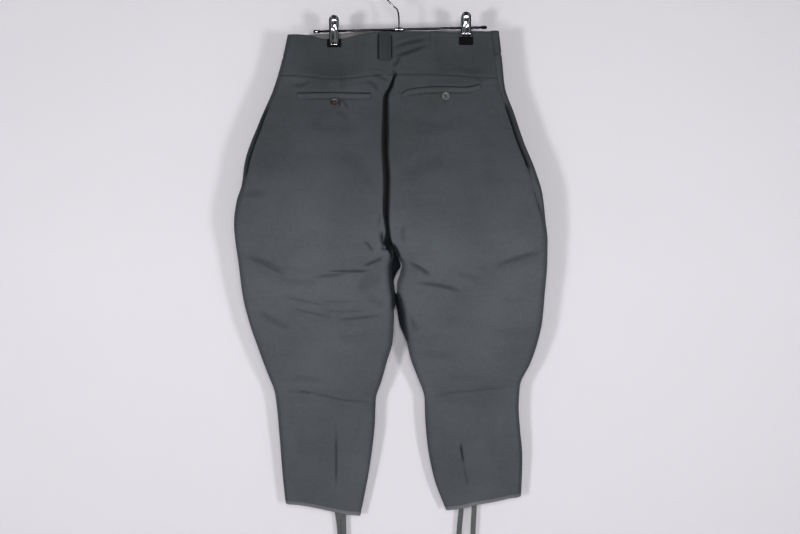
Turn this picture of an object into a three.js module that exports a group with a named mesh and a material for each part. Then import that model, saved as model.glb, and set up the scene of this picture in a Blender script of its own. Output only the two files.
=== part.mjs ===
// Knee breeches of grey wool, hung by the waist from a clip hanger.
//
// Millimetres, +Z up. The origin is the inside top of the hanger's hook, where a rail or a nail
// carries it. The back of the breeches faces -Y, the front faces +Y, and "left" is -X.
// Lengths down the garment are "drops": the distance below the origin, so z = -drop.
import * as THREE from 'three';

const { PI, abs, asin, cos, exp, hypot, max, min, sin } = Math;

// ---------------------------------------------------------------- driving dimensions

const CLOTH = 1.6; // wall of the wool cloth
const THIN_CLOTH = 1.0; // wall of facings, tapes and bindings
const SEAM_GAP = 0.3; // room between two pieces that are sewn together
const LIE_GAP = 0.6; // room between a panel and what lies on it

const CROTCH_DROP = 519;
const SEAT_DROP = 385; // rows from here to the calf are level
const CALF_DROP = 780;
const BINDING_HEIGHT = 6.2;
const FACING_HEIGHT = 34;
const BAND_HEIGHT = 42; // front waistband
const BUTTON_HEIGHT = 3;

const HOOK_WIRE_RADIUS = 1.6;
const HOOK_RADIUS = 25;
const BAR_RADIUS = 2.5;
const BAR_DROP = 95;
const BAR_FROM = -160.5;
const BAR_TO = 164.5;
const CAP_LENGTH = 11;
const HANGER_TILT = -1.4; // degrees about Y: the right end is the higher one
const CLIP_PLACES = { left: -121.7, right: 125 }; // along the bar
const CLIP_PINCH = { left: -119.4, right: 127.2, flat: 27, spread: 74, firm: 134, gone: 205 };
const BACK_PINCH_Y = -1.3; // middle of the back layer inside a clip
const FRONT_PINCH_Y = 1.9;

// ---------------------------------------------------------------- small mathematics

const mix = (a, b, t) => a + (b - a) * t;

function smoothStep(from, to, value) {
  const t = min(1, max(0, (value - from) / (to - from)));
  return t * t * (3 - 2 * t);
}

// A smooth curve through [position, value] pairs that never overshoots them: cubic pieces whose
// slope at each point is the harmonic mean of its neighbours' slopes.
function curve(points) {
  const last = points.length - 1;
  const step = [];
  const slope = [];
  for (let i = 0; i < last; i += 1) {
    step.push(points[i + 1][0] - points[i][0]);
    slope.push((points[i + 1][1] - points[i][1]) / step[i]);
  }
  const tangent = [slope[0]];
  for (let i = 1; i < last; i += 1) {
    const before = 2 * step[i] + step[i - 1];
    const after = step[i] + 2 * step[i - 1];
    const turns = slope[i - 1] * slope[i] <= 0;
    tangent.push(turns ? 0 : (before + after) / (before / slope[i - 1] + after / slope[i]));
  }
  tangent.push(slope[last - 1]);
  return (position) => {
    if (position <= points[0][0]) return points[0][1] + tangent[0] * (position - points[0][0]);
    if (position >= points[last][0]) {
      return points[last][1] + tangent[last] * (position - points[last][0]);
    }
    let i = 0;
    while (position > points[i + 1][0]) i += 1;
    const t = (position - points[i][0]) / step[i];
    const bend = t * t * (3 - 2 * t);
    const rise = step[i] * t * (1 - t);
    return mix(points[i][1], points[i + 1][1], bend)
      + rise * ((1 - t) * tangent[i] - t * tangent[i + 1]);
  };
}

// Evenly spaced numbers, both ends included.
function spaced(from, to, count) {
  return Array.from({ length: count + 1 }, (_, i) => mix(from, to, i / count));
}

// ---------------------------------------------------------------- the garment's outlines

// All of them are x against drop. "outer" is the silhouette, "inseam" the edge between the legs,
// and "inset" how far the side seam lies inside the silhouette on the back.
const HALVES = {
  left: {
    side: -1,
    outer: curve([[95, -203.5], [106, -205.6], [150, -215], [204, -230.5], [267, -257],
      [344, -284.7], [387, -290.5], [417, -299.7], [457, -304.6], [539, -295.6], [594, -288.5],
      [640, -277.2], [689, -260.4], [744, -239.9], [765, -231.3], [780, -227.9], [859, -220],
      [920, -215.2], [981, -209.2]]),
    inseam: curve([[519, -8], [537, -12.7], [565, -11.7], [603, -8], [625, -8], [678, -10.8],
      [715, -21.1], [749, -30.4], [787, -42.2], [831, -43.9], [866, -47.3], [919, -54.7],
      [1000, -70.4]]),
    inset: curve([[100, 3], [229, 4], [277, 6], [322, 8], [378, 6], [420, 3], [1000, 2]]),
    valley: curve([[100, 12], [182, 9], [229, 6.6], [444, 6.6], [519, 10]]),
    fold: curve([[0, 0], [1000, 0]]),
    waist: curve([[0, 102.5], [0.17, 105], [0.48, 113], [0.65, 113], [0.89, 106.4], [1, 105.5]]),
    frontWaist: curve([[0, 96.5], [0.25, 100], [0.5, 103.6], [0.75, 103.8], [1, 105.5]]),
    yoke: curve([[0, 180.5], [0.5, 189], [1, 182]]),
    hem: curve([[0, 1004], [0.3, 995.5], [0.55, 990], [1, 980.5]]),
    slit: [231, 384],
  },
  right: {
    side: 1,
    outer: curve([[95, 187.6], [106, 189], [154, 194], [204, 199.2], [251, 215.5], [309, 235.1],
      [360, 255.7], [405, 268.8], [454, 274.4], [492, 278.1], [528, 277.6], [594, 272.5],
      [640, 268.4], [676, 260.6], [717, 246.9], [758, 227.6], [777, 225.4], [802, 224.5],
      [843, 227.3], [894, 231.4], [967, 229.3]]),
    inseam: curve([[519, -2.4], [534, 8.5], [550, 5.1], [569, -0.5], [584, -1.4], [603, 4],
      [625, 8.8], [676, 16.3], [715, 25.7], [739, 35], [787, 50.7], [812, 51.3], [855, 54.3],
      [886, 58.2], [935, 68.7], [993, 90.4]]),
    inset: curve([[98, 14.6], [186, 13], [216, 10], [281, 11], [337, 12], [367, 14], [409, 11],
      [444, 7], [480, 3], [1000, 2]]),
    valley: curve([[100, 14], [182, 18], [229, 22], [444, 20], [519, 12]]),
    fold: curve([[0, 0], [582, 0], [600, 13], [640, 13], [668, 6], [692, 0], [1000, 0]]),
    waist: curve([[0, 102.5], [0.2, 100.2], [0.65, 100.6], [1, 98.4]]),
    frontWaist: curve([[0, 96.5], [0.3, 95.8], [0.6, 97], [0.85, 97.6], [1, 98.4]]),
    yoke: curve([[0, 180.5], [0.3, 181], [1, 188]]),
    hem: curve([[0, 993.5], [0.35, 983], [0.78, 975], [1, 967]]),
    slit: [225, 372],
  },
};

const backSeamX = curve([[101, -20], [156, -21], [182, -13], [229, -22], [320, -22], [444, -20],
  [481, -16], [519, -5.2]]);
const backSeamY = curve([[100, -9], [160, -13.5], [182, -13], [200, -5], [229, 1], [320, 4],
  [400, 0], [444, -4], [495, -1], [519, 4]]);
const frontSeamX = curve([[95, -9], [300, -9], [480, -7], [519, -5.2]]);
const frontSeamY = curve([[95, 6], [240, 13], [400, 16], [480, 13], [519, 4]]);
const inseamY = curve([[519, 4], [600, -2], [1000, -1]]);
const silhouetteY = curve([[95, 0], [300, -4], [430, -6], [760, -4], [1000, -1]]);

// How far the two layers stand from the plane of the hanger, and how round the edges are.
const backDepth = curve([[98, 12], [145, 16], [185, 20], [240, 30], [320, 38], [430, 39],
  [519, 36], [600, 31], [700, 28], [748, 25], [778, 19], [860, 18], [930, 16], [1005, 11]]);
const frontDepth = curve([[95, 9], [145, 11], [240, 18], [350, 22], [480, 24], [600, 24],
  [748, 21], [778, 15], [860, 14], [1005, 9]]);
const edgeRound = curve([[95, 7], [185, 9], [300, 13], [430, 15], [600, 15], [748, 13],
  [780, 10], [1005, 8]]);
const inseamRound = curve([[519, 11], [560, 14], [700, 13], [780, 10], [1005, 8]]);

// Broad soft folds on the back: a line of [x, drop] points, how deep and how wide.
const FOLDS = [
  { line: [[-290, 508], [-259, 526], [-202, 556]], deep: 5, wide: 13 },
  { line: [[-270, 617], [-217, 644], [-180, 660]], deep: 4, wide: 14 },
  { line: [[276, 506], [238, 518], [165, 541]], deep: 5, wide: 13 },
  { line: [[18, 531], [66, 557], [120, 583]], deep: 4, wide: 12 },
  { line: [[-225, 776], [-141, 777], [-43, 787]], deep: 3, wide: 10 },
  { line: [[51, 785], [139, 770], [225, 763]], deep: 3, wide: 10 },
];

// ---------------------------------------------------------------- the garment's surface

function distanceToLine(line, x, drop) {
  let nearest = Infinity;
  for (let i = 0; i + 1 < line.length; i += 1) {
    const [ax, ay] = line[i];
    const dx = line[i + 1][0] - ax;
    const dy = line[i + 1][1] - ay;
    const along = min(1, max(0, ((x - ax) * dx + (drop - ay) * dy) / (dx * dx + dy * dy)));
    nearest = min(nearest, hypot(x - ax - along * dx, drop - ay - along * dy));
  }
  return nearest;
}

function foldDepth(x, drop) {
  let depth = 0;
  for (const { line, deep, wide } of FOLDS) {
    depth += deep * exp(-((distanceToLine(line, x, drop) / wide) ** 2));
  }
  return depth;
}

// How firmly the clips press the layers together: 1 inside a jaw, 0 well away from it.
function pinch(x, drop) {
  const { left, right, flat, spread, firm, gone } = CLIP_PINCH;
  const away = min(abs(x - left), abs(x - right));
  return (1 - smoothStep(flat, spread, away)) * (1 - smoothStep(firm, gone, drop));
}

// y of one layer away from its edges. "across" runs from 0 at the inner edge to 1 outside.
function layerY(front, x, drop, across) {
  const crown = 0.75 + 0.25 * (1 - (2 * across - 1) ** 2);
  const press = pinch(x, drop);
  if (front) return mix(frontDepth(drop) * crown, FRONT_PINCH_Y, press);
  return mix(foldDepth(x, drop) - backDepth(drop) * crown, BACK_PINCH_Y, press);
}

function innerEdgeX(half, front, drop) {
  if (drop >= CROTCH_DROP) return half.inseam(drop);
  const parting = 2.8 * smoothStep(485, CROTCH_DROP, drop);
  return (front ? frontSeamX(drop) : backSeamX(drop)) + half.side * parting;
}

function innerEdgeY(front, drop) {
  if (drop >= CROTCH_DROP) return inseamY(drop);
  return front ? frontSeamY(drop) : backSeamY(drop);
}

function innerRound(half, front, drop) {
  if (drop >= CROTCH_DROP) return inseamRound(drop);
  return front ? mix(28, 11, smoothStep(400, CROTCH_DROP, drop)) : half.valley(drop);
}

// A point of the cloth's middle surface. "way" runs round the section of one half: 0 is the
// centre-back seam or the inseam, 1 to 2 the flat of the back, 3 the silhouette, 4 to 5 the flat
// of the front, and 6 the centre-front seam or the inseam again.
function surfacePoint(half, way, drop) {
  const front = way > 3;
  const t = front ? 6 - way : way;
  const inner = innerEdgeX(half, front, drop);
  const width = abs(half.outer(drop) - inner);
  const roundIn = innerRound(half, front, drop);
  const roundOut = edgeRound(drop);
  let from = 0;
  let edgeY = 0;
  let share = 1;
  if (t < 1) {
    const turned = smoothStep(490, CROTCH_DROP, drop);
    const angle = (t * PI) / 2;
    from = roundIn * mix(t, 1 - cos(angle), turned);
    share = mix((1 - cos(2 * angle)) / 2, sin(angle), turned);
    edgeY = innerEdgeY(front, drop);
  } else if (t <= 2) {
    from = roundIn + (width - roundIn - roundOut) * (t - 1);
  } else {
    const angle = ((t - 2) * PI) / 2;
    from = width - roundOut * (1 - sin(angle));
    share = cos(angle);
    edgeY = silhouetteY(drop);
  }
  const x = inner + half.side * from;
  const y = mix(edgeY, layerY(front, x, drop, from / width), share);
  const hang = front && t < 1 ? half.fold(drop) * sin(t * PI) ** 2 : 0;
  return new THREE.Vector3(x - half.side * hang, y, -drop);
}

// The "way" of the side seam, where the back is sewn to the front.
function sideSeam(half, drop) {
  const inset = half.inset(drop);
  const roundOut = edgeRound(drop);
  if (inset <= roundOut) return 2 + (asin(1 - inset / roundOut) * 2) / PI;
  const width = abs(half.outer(drop) - innerEdgeX(half, false, drop));
  const roundIn = innerRound(half, false, drop);
  return 1 + (width - inset - roundIn) / (width - roundIn - roundOut);
}

// Share of the width at a "way", for the lines that run across the cloth.
const acrossOfWay = curve([[0, 0], [1, 0.06], [2, 0.95], [3, 1]]);

// Drops of the lines that a piece is cut along, at one "way": the waist, the seam below the yoke or
// the waistband, the seat, the calf and the hem.
function cutLines(half, front, way) {
  const across = acrossOfWay(way > 3 ? 6 - way : way);
  const waist = front ? half.frontWaist(across) : half.waist(across);
  const seam = front ? waist + BAND_HEIGHT : half.yoke(across);
  return [waist, seam, SEAT_DROP, CALF_DROP, half.hem(across)];
}

// A row's "level" counts those lines from 0 to 4, and the rows between two lines share the room.
function rowDrop(half, front, way, level) {
  const lines = cutLines(half, front, way);
  const below = max(0, min(3, Math.floor(level)));
  return mix(lines[below], lines[below + 1], level - below);
}

// The level of the row that meets the side seam at a given drop.
const SEAM_WAY = 2.9;

function levelAtSeam(half, front, drop) {
  const lines = cutLines(half, front, SEAM_WAY);
  let below = 0;
  while (below < 3 && drop > lines[below + 1] - 1e-6) below += 1;
  return below + (drop - lines[below]) / (lines[below + 1] - lines[below]);
}

// ---------------------------------------------------------------- walls

// A closed wall of even thickness on rows of {point, normal}. A closed ring joins its last
// column to its first.
function wall(rows, thickness, ring = false) {
  const columns = rows[0].length;
  const places = [];
  for (const offset of [thickness / 2, -thickness / 2]) {
    for (const row of rows) {
      for (const { point, normal } of row) {
        places.push(...point.clone().addScaledVector(normal, offset).toArray());
      }
    }
  }
  const inside = rows.length * columns;
  const at = (r, c) => r * columns + (c % columns);
  const index = [];
  const quad = (a, b, c, d) => index.push(a, b, d, b, c, d);
  const lastColumn = ring ? columns : columns - 1;
  const lastRow = rows.length - 1;
  for (let r = 0; r < lastRow; r += 1) {
    for (let c = 0; c < lastColumn; c += 1) {
      const corners = [at(r, c), at(r, c + 1), at(r + 1, c + 1), at(r + 1, c)];
      quad(...corners);
      quad(...corners.reverse().map((corner) => corner + inside));
    }
  }
  for (let c = 0; c < lastColumn; c += 1) {
    const top = [at(0, c), at(0, c + 1)];
    const bottom = [at(lastRow, c + 1), at(lastRow, c)];
    for (const [a, b] of [top, bottom]) quad(b, a, a + inside, b + inside);
  }
  if (!ring) {
    for (let r = 0; r < lastRow; r += 1) {
      const start = [at(r + 1, 0), at(r, 0)];
      const end = [at(r, columns - 1), at(r + 1, columns - 1)];
      for (const [a, b] of [start, end]) quad(b, a, a + inside, b + inside);
    }
  }
  const geometry = new THREE.BufferGeometry();
  geometry.setAttribute('position', new THREE.Float32BufferAttribute(places, 3));
  geometry.setIndex(index);
  return geometry;
}

// Rows of points become rows of {point, normal}, with normals from the neighbouring points.
function withNormals(grid) {
  const lastRow = grid.length - 1;
  const lastColumn = grid[0].length - 1;
  const between = (a, b) => new THREE.Vector3().subVectors(b, a);
  return grid.map((row, r) => row.map((point, c) => {
    const along = between(row[max(0, c - 1)], row[min(lastColumn, c + 1)]);
    const down = between(grid[max(0, r - 1)][c], grid[min(lastRow, r + 1)][c]);
    return { point, normal: along.cross(down).normalize() };
  }));
}

// The same rows, moved along their normals.
function moved(rows, out) {
  return rows.map((row) => row.map(({ point, normal }) => (
    { point: point.clone().addScaledVector(normal, out), normal }
  )));
}

// One cell of a cut panel, with the outward normal and the two directions of the cloth. They come
// from the smooth surface, so two panels that share a seam end square to it with an even gap.
function panelCell(half, front, way, level) {
  const place = (w, l) => surfacePoint(half, w, rowDrop(half, front, w, l));
  const tiny = 0.002;
  const along = place(way + tiny, level).sub(place(way - tiny, level)).normalize();
  const down = place(way, level + tiny).sub(place(way, level - tiny)).normalize();
  const normal = along.clone().cross(down).normalize().multiplyScalar(-half.side);
  return { point: place(way, level), normal, along, down };
}

// Rows run so that columns, rows and outward normals make a right-handed set.
const ordered = (half, rows) => (half.side > 0 ? rows.map((row) => row.reverse()) : rows);

// A panel cut between two seams. "levels" gives the rows and "ways" the columns of each row. Every
// side stops half a seam gap short.
function cutPanel(half, front, levels, ways) {
  const rows = levels.map((level, r) => {
    const columns = ways(level);
    return columns.map((way, c) => {
      const cell = panelCell(half, front, way, level);
      const { point, along, down } = cell;
      if (r === 0) point.addScaledVector(down, SEAM_GAP / 2);
      if (r === levels.length - 1) point.addScaledVector(down, -SEAM_GAP / 2);
      if (c === 0) point.addScaledVector(along, SEAM_GAP / 2);
      if (c === columns.length - 1) point.addScaledVector(along, -SEAM_GAP / 2);
      return cell;
    });
  });
  return ordered(half, rows);
}

// ---------------------------------------------------------------- materials and the group

const finish = (color, roughness, metalness = 0) => ({ color, roughness, metalness });
const WOOL = finish(0x4b5052, 0.95);
const WOOL_YOKE = finish(0x3c4042, 0.95);
const BINDING = finish(0x5f5f69, 0.9);
const FACING = finish(0x64645f, 0.9);
const TAPE = finish(0x555a58, 0.9);
const HORN = finish(0x3a2320, 0.35);
const GREY_HORN = finish(0x4a4f48, 0.4);
const CHROME = finish(0xc8ccd0, 0.15, 1);
const RUBBER = finish(0x0c0d0e, 0.6);

const breeches = new THREE.Group();

function addTo(parent, name, geometry, look) {
  const mesh = new THREE.Mesh(geometry, new THREE.MeshStandardMaterial(look));
  mesh.name = name;
  parent.add(mesh);
  return mesh;
}

// ---------------------------------------------------------------- cut pieces

// Rows. The two backs share their levels, and a front takes the drops that its back has at the side
// seam, so that the facets of neighbouring pieces meet.
const YOKE_LEVELS = [0, 0.17, 0.34, 0.5, 0.75, 1];
const SEAT_LEVELS = [1.11, 1.24, 1.38, 1.54, 1.7, 1.86];
const LEG_DROPS = [SEAT_DROP, 410, 440, 466, 492, CROTCH_DROP, 537, 558, 584, 603, 628, 655, 682,
  710, 736, 756, CALF_DROP];
const CALF_LEVELS = [3.12, 3.3, 3.5, 3.72, 3.9];
const BACK_FLAT_COLUMNS = 7;
const FRONT_FLAT_COLUMNS = 5;

// The level where the binding starts, so that the binding has its own height at the hem.
const hemLevel = 4 - BINDING_HEIGHT / (990 - CALF_DROP);

const backLevels = [1, ...SEAT_LEVELS, ...LEG_DROPS.map((drop) => (
  levelAtSeam(HALVES.left, false, drop))), ...CALF_LEVELS, hemLevel];

function frontLevels(half) {
  const drops = [0.6, 0.8, ...backLevels].map((level) => rowDrop(half, false, SEAM_WAY, level));
  return [1, ...drops.map((drop) => levelAtSeam(half, true, drop))];
}

function backWays(half) {
  return (level) => {
    const seam = sideSeam(half, rowDrop(half, false, SEAM_WAY, level));
    const flatEnd = min(seam - 0.1, 2);
    return [0, 0.25, 0.5, 0.75, ...spaced(1, flatEnd, BACK_FLAT_COLUMNS),
      mix(flatEnd, seam, 0.55), seam];
  };
}

// The front starts at the side seam on the back and goes round the silhouette.
function frontWays(half) {
  return (level) => {
    const seam = sideSeam(half, rowDrop(half, true, SEAM_WAY, level));
    return [seam, mix(seam, 3, 0.5), 3, 3.35, 3.7, ...spaced(4, 5, FRONT_FLAT_COLUMNS), 5.33,
      5.66, 6];
  };
}

function addBackPanel(name, half) {
  const rows = cutPanel(half, false, backLevels, backWays(half));
  addTo(breeches, `back_${name}`, wall(rows, CLOTH), WOOL);
}

function addYoke(name, half) {
  const rows = cutPanel(half, false, YOKE_LEVELS, backWays(half));
  addTo(breeches, `back_yoke_${name}`, wall(rows, CLOTH), WOOL_YOKE);
}

// Inside a side pocket's slit the front steps down and runs on under the back.
const SLIT_STEP = 3.2;
const SLIT_UNDER = 5;
const SLIT_END = 25; // from each end of the slit to where the front runs under

function addFrontPanel(name, half) {
  const rows = cutPanel(half, true, frontLevels(half), frontWays(half));
  const [slitTop, slitEnd] = half.slit;
  for (const row of rows) {
    const { point } = half.side > 0 ? row[row.length - 1] : row[0];
    const inSlit = min(-point.z - slitTop, slitEnd + point.z);
    if (inSlit > 0) point.y += SLIT_STEP;
    if (inSlit > SLIT_END) point.x -= half.side * SLIT_UNDER;
  }
  addTo(breeches, `front_${name}`, wall(rows, CLOTH), WOOL);
}

function addWaistband(name, half) {
  const rows = cutPanel(half, true, spaced(0, 1, 3), frontWays(half));
  addTo(breeches, `front_waistband_${name}`, wall(rows, CLOTH), WOOL);
}

// The facing lines the inside of the front waist; its top edge shows above the back.
function addFacing(name, half) {
  const end = FACING_HEIGHT / BAND_HEIGHT;
  const columns = [...spaced(4, 5, FRONT_FLAT_COLUMNS).slice(1), 5.33, 5.66, 5.92];
  const rows = [0.02, 1 / 3, 2 / 3, end].map((level) => (
    columns.map((way) => panelCell(half, true, way, level))
  ));
  const inward = -(CLOTH / 2 + SEAM_GAP * 1.3 + THIN_CLOTH / 2);
  addTo(breeches, `waist_facing_${name}`, wall(moved(ordered(half, rows), inward), THIN_CLOTH),
    FACING);
}

// A narrow binding runs round each hem as a closed ring.
function addHemBinding(name, half) {
  const rows = [hemLevel, 4].map((level, r) => {
    const ways = [...backWays(half)(level), ...frontWays(half)(level).slice(1, -1)];
    return ways.map((way) => {
      const cell = panelCell(half, way > 3, way, level);
      if (r === 0) cell.point.addScaledVector(cell.down, SEAM_GAP / 2);
      return cell;
    });
  });
  addTo(breeches, `hem_binding_${name}`, wall(ordered(half, rows), CLOTH, true), BINDING);
}

for (const [name, half] of Object.entries(HALVES)) {
  addYoke(name, half);
  addBackPanel(name, half);
  addFrontPanel(name, half);
  addWaistband(name, half);
  addFacing(name, half);
  addHemBinding(name, half);
}

// ---------------------------------------------------------------- what lies on the panels

// The place and the outward normal of a layer's middle at an x and drop.
function onLayer(front, x, drop) {
  const place = (px, pd) => {
    const half = px < innerEdgeX(HALVES.left, front, pd) ? HALVES.left : HALVES.right;
    const inner = innerEdgeX(half, front, pd);
    const from = abs(px - inner);
    const round = innerRound(half, front, pd);
    if (from < round) return surfacePoint(half, front ? 6 - from / round : from / round, pd);
    const across = from / abs(half.outer(pd) - inner);
    return new THREE.Vector3(px, layerY(front, px, pd, across), -pd);
  };
  const right = place(x + 0.5, drop).sub(place(x - 0.5, drop));
  const down = place(x, drop + 0.5).sub(place(x, drop - 0.5));
  const normal = right.cross(down).normalize().multiplyScalar(front ? 1 : -1);
  return { point: place(x, drop), normal };
}

// A strip on a layer, from rows of [x, drop] pairs. "lift" is its extra room above the panel.
function addOverlay(name, front, grid, lift, thickness, look) {
  const distance = CLOTH / 2 + LIE_GAP + thickness / 2;
  const rows = grid.map((row, r) => row.map(([x, drop]) => {
    const { point, normal } = onLayer(front, x, drop);
    return { point: point.addScaledVector(normal, distance + lift(r)), normal };
  }));
  const turned = front ? rows : rows.map((row) => row.reverse());
  addTo(breeches, name, wall(turned, thickness), look);
}

const WELT_THICKNESS = 1.2;
const FLY_THICKNESS = 1.4;

const WELT_HEIGHT = 7.4;

// A welt runs from one x to another along a line that gives its upper edge.
function addWelt(name, from, to, topLine) {
  const grid = [0, 0.5, 1].map((t) => spaced(from, to, 8).map((x) => (
    [x, topLine(x) + WELT_HEIGHT * t])));
  addOverlay(name, false, grid, () => 0, WELT_THICKNESS, WOOL);
}

addWelt('pocket_welt_left', -185.6, -51, () => 219.4);
addWelt('pocket_welt_right', 8, 151,
  curve([[8, 219], [20, 212], [72, 207.5], [125, 208.5], [151, 203.5]]));

// The belt loop is sewn down at its two ends and stands off the yoke between them.
const LOOP = { from: -34.9, to: -13.4, top: 104, end: 156.5, bow: 3 };
{
  const drops = spaced(LOOP.top, LOOP.end, 8);
  const middle = (LOOP.from + LOOP.to) / 2;
  const grid = drops.map((drop) => [LOOP.from, middle, LOOP.to].map((x) => [x, drop]));
  addOverlay('belt_loop', false, grid, (r) => 0.6 + LOOP.bow * sin((PI * r) / 8), THIN_CLOTH,
    WOOL_YOKE);
}

// The fly strip covers the front opening below the waistband, and curves back to it at its foot.
{
  const grid = spaced(142, 330, 8).map((drop, r) => (
    spaced(-6, 29 - 16 * max(0, (r - 5) / 3) ** 2, 4).map((x) => [x, drop])
  ));
  addOverlay('fly_strip', true, grid, () => 0.4, FLY_THICKNESS, WOOL);
}

// ---------------------------------------------------------------- buttons

// A dished button with a raised rim, turned on its own axis and laid along the cloth.
function addButton(name, front, [x, drop], radius, look) {
  const profile = [[0, 0], [0.72, 0], [0.96, 0.35], [0.97, 0.85], [0.82, 1], [0.62, 0.72],
    [0, 0.62]].map(([r, h]) => new THREE.Vector2(r * radius, h * BUTTON_HEIGHT));
  const { point, normal } = onLayer(front, x, drop);
  const button = addTo(breeches, name, new THREE.LatheGeometry(profile, 18), look);
  button.quaternion.setFromUnitVectors(new THREE.Vector3(0, 1, 0), normal);
  button.position.copy(point).addScaledVector(normal, CLOTH / 2 + LIE_GAP);
}

addButton('button_left', false, [-116.4, 236.2], 8.4, HORN);
addButton('button_right', false, [88.3, 224.5], 7.6, GREY_HORN);
addButton('waist_button', true, [30, 118], 8.5, GREY_HORN);

// ---------------------------------------------------------------- tie tapes

// Each tape is sewn inside the front hem and hangs free. Its route is the middle line of a flat
// strip; the width lies along X except where the tape turns edge on.
const TAPE_WIDTH = 9;
const TAPES = {
  tie_tape_left_outer: [[-115.5, 6.6, 978], [-114.8, 6.4, 990], [-113, 5.6, 1004],
    [-110.6, 4.8, 1022], [-109, 4.4, 1040], [-108.4, 4.6, 1062], [-109, 5.2, 1086],
    [-110.4, 5.6, 1110], [-111.4, 5.4, 1134], [-111.2, 4.8, 1158], [-110, 4.2, 1182],
    [-108.8, 4, 1206], [-108.2, 4.2, 1230]],
  tie_tape_left_inner: [[-103.2, 6.3, 980], [-102.8, 5.8, 992], [-102.2, 4.6, 1006],
    [-101.8, 3, 1024], [-101.5, 2, 1042], [-100.6, 1.8, 1064], [-99.4, 2, 1088],
    [-98.6, 2.4, 1112], [-98.6, 2.8, 1136], [-99.4, 2.6, 1160], [-100.4, 2, 1184],
    [-100.8, 1.6, 1208], [-100.6, 1.6, 1228]],
  tie_tape_right_inner: [[119.4, 6.8, 968], [119.2, 6.6, 980], [118.6, 5.9, 994],
    [116.9, 5, 1012], [115.2, 4.4, 1030], [114.2, 4.2, 1052], [114, 4.6, 1076],
    [114.6, 5.2, 1100], [115.4, 5.6, 1124], [115.8, 5.6, 1148], [115.4, 5, 1172],
    [114.8, 4.4, 1196], [114.6, 4.2, 1216]],
  tie_tape_right_outer: [[144, 6.7, 964], [143.8, 6.5, 976], [143.2, 5.9, 990],
    [142.2, 5, 1008], [141.2, 4.4, 1026], [140.6, 4.2, 1048], [140.8, 4.6, 1072],
    [141.6, 5.2, 1096], [142.2, 5.6, 1120], [142, 5.6, 1144], [141.2, 5, 1168],
    [140.4, 4.6, 1192], [140, 4.4, 1214]],
};

for (const [name, route] of Object.entries(TAPES)) {
  const grid = route.map(([x, y, drop]) => [-TAPE_WIDTH / 2, TAPE_WIDTH / 2].map((across) => (
    new THREE.Vector3(x + across, y, -drop)
  )));
  addTo(breeches, name, wall(withNormals(grid), THIN_CLOTH), TAPE);
}

// ---------------------------------------------------------------- the clip hanger

const hanger = new THREE.Group();
hanger.rotation.y = THREE.MathUtils.degToRad(HANGER_TILT);
breeches.add(hanger);

// A rod or wire: a round section carried along a path, with closed ends.
function rodGeometry(path, radius, sides, steps) {
  const section = new THREE.Shape();
  for (let i = 0; i < sides; i += 1) {
    const angle = (2 * PI * i) / sides;
    const point = [radius * cos(angle), radius * sin(angle)];
    if (i === 0) section.moveTo(...point);
    else section.lineTo(...point);
  }
  return new THREE.ExtrudeGeometry(section, { steps, extrudePath: path });
}

// A ring about the X axis, from an inner radius to an outer one.
function ringGeometry(inner, outer, length, sides = 16) {
  const half = length / 2;
  const edge = min(0.6, (outer - inner) / 3);
  const profile = [[inner, -half], [outer - edge, -half], [outer, edge - half],
    [outer, half - edge], [outer - edge, half], [inner, half], [inner, -half]];
  const points = profile.map(([r, x]) => new THREE.Vector2(r, x));
  return new THREE.LatheGeometry(points, sides).rotateZ(-PI / 2);
}

const FERRULE = { bore: BAR_RADIUS + 0.3, radius: 4.2, length: 15 };
const STEM_TOP = 58;

{
  const bar = new THREE.LineCurve3(
    new THREE.Vector3(BAR_FROM + CAP_LENGTH, 0, -BAR_DROP),
    new THREE.Vector3(BAR_TO - CAP_LENGTH, 0, -BAR_DROP),
  );
  addTo(hanger, 'hanger_bar', rodGeometry(bar, BAR_RADIUS, 12, 1), CHROME);
  const ferrule = ringGeometry(FERRULE.bore, FERRULE.radius, FERRULE.length);
  addTo(hanger, 'hanger_ferrule', ferrule, CHROME).position.z = -BAR_DROP;
}

for (const [name, end, out] of [['left', BAR_FROM, -1], ['right', BAR_TO, 1]]) {
  const radius = BAR_RADIUS + 0.6;
  const length = CAP_LENGTH - SEAM_GAP;
  const profile = [[0, 0], [radius - 0.5, 0], [radius, 0.6], [radius, length - 1.6],
    [radius * 0.7, length - 0.4], [0, length]].map(([r, h]) => new THREE.Vector2(r, h));
  const cap = new THREE.LatheGeometry(profile, 14).rotateZ((-out * PI) / 2);
  addTo(hanger, `bar_cap_${name}`, cap, RUBBER)
    .position.set(end - out * length, 0, -BAR_DROP);
}

// The hook: a stem up from the ferrule, a lean to the left, and an open round bight.
{
  const centre = -(HOOK_RADIUS - HOOK_WIRE_RADIUS);
  const onBight = (degrees) => new THREE.Vector3(
    HOOK_RADIUS * cos((degrees * PI) / 180),
    0,
    centre + HOOK_RADIUS * sin((degrees * PI) / 180),
  );
  const stemBase = -BAR_DROP + FERRULE.radius + SEAM_GAP;
  const points = [new THREE.Vector3(0, 0, stemBase), new THREE.Vector3(0, 0, -80),
    new THREE.Vector3(-0.4, 0, -68), new THREE.Vector3(-2.6, 0, -STEM_TOP),
    new THREE.Vector3(-11, 0, -50), new THREE.Vector3(-19.5, 0, -40),
    ...[188, 168, 146, 124, 102, 80, 58, 36, 14, -8, -28].map(onBight)];
  const wire = new THREE.CatmullRomCurve3(points, false, 'centripetal');
  addTo(hanger, 'hanger_hook', rodGeometry(wire, HOOK_WIRE_RADIUS, 8, 38), CHROME);
}

// One lever of a clip: a curved plate with a domed top, hollow towards the cloth. "out" is -1 for
// the lever on the back of the garment and 1 for the one on its front.
const LEVER = { top: 28, bottom: 27.5, halfWidth: 9, bulge: 4.6, wall: 1 };

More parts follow.
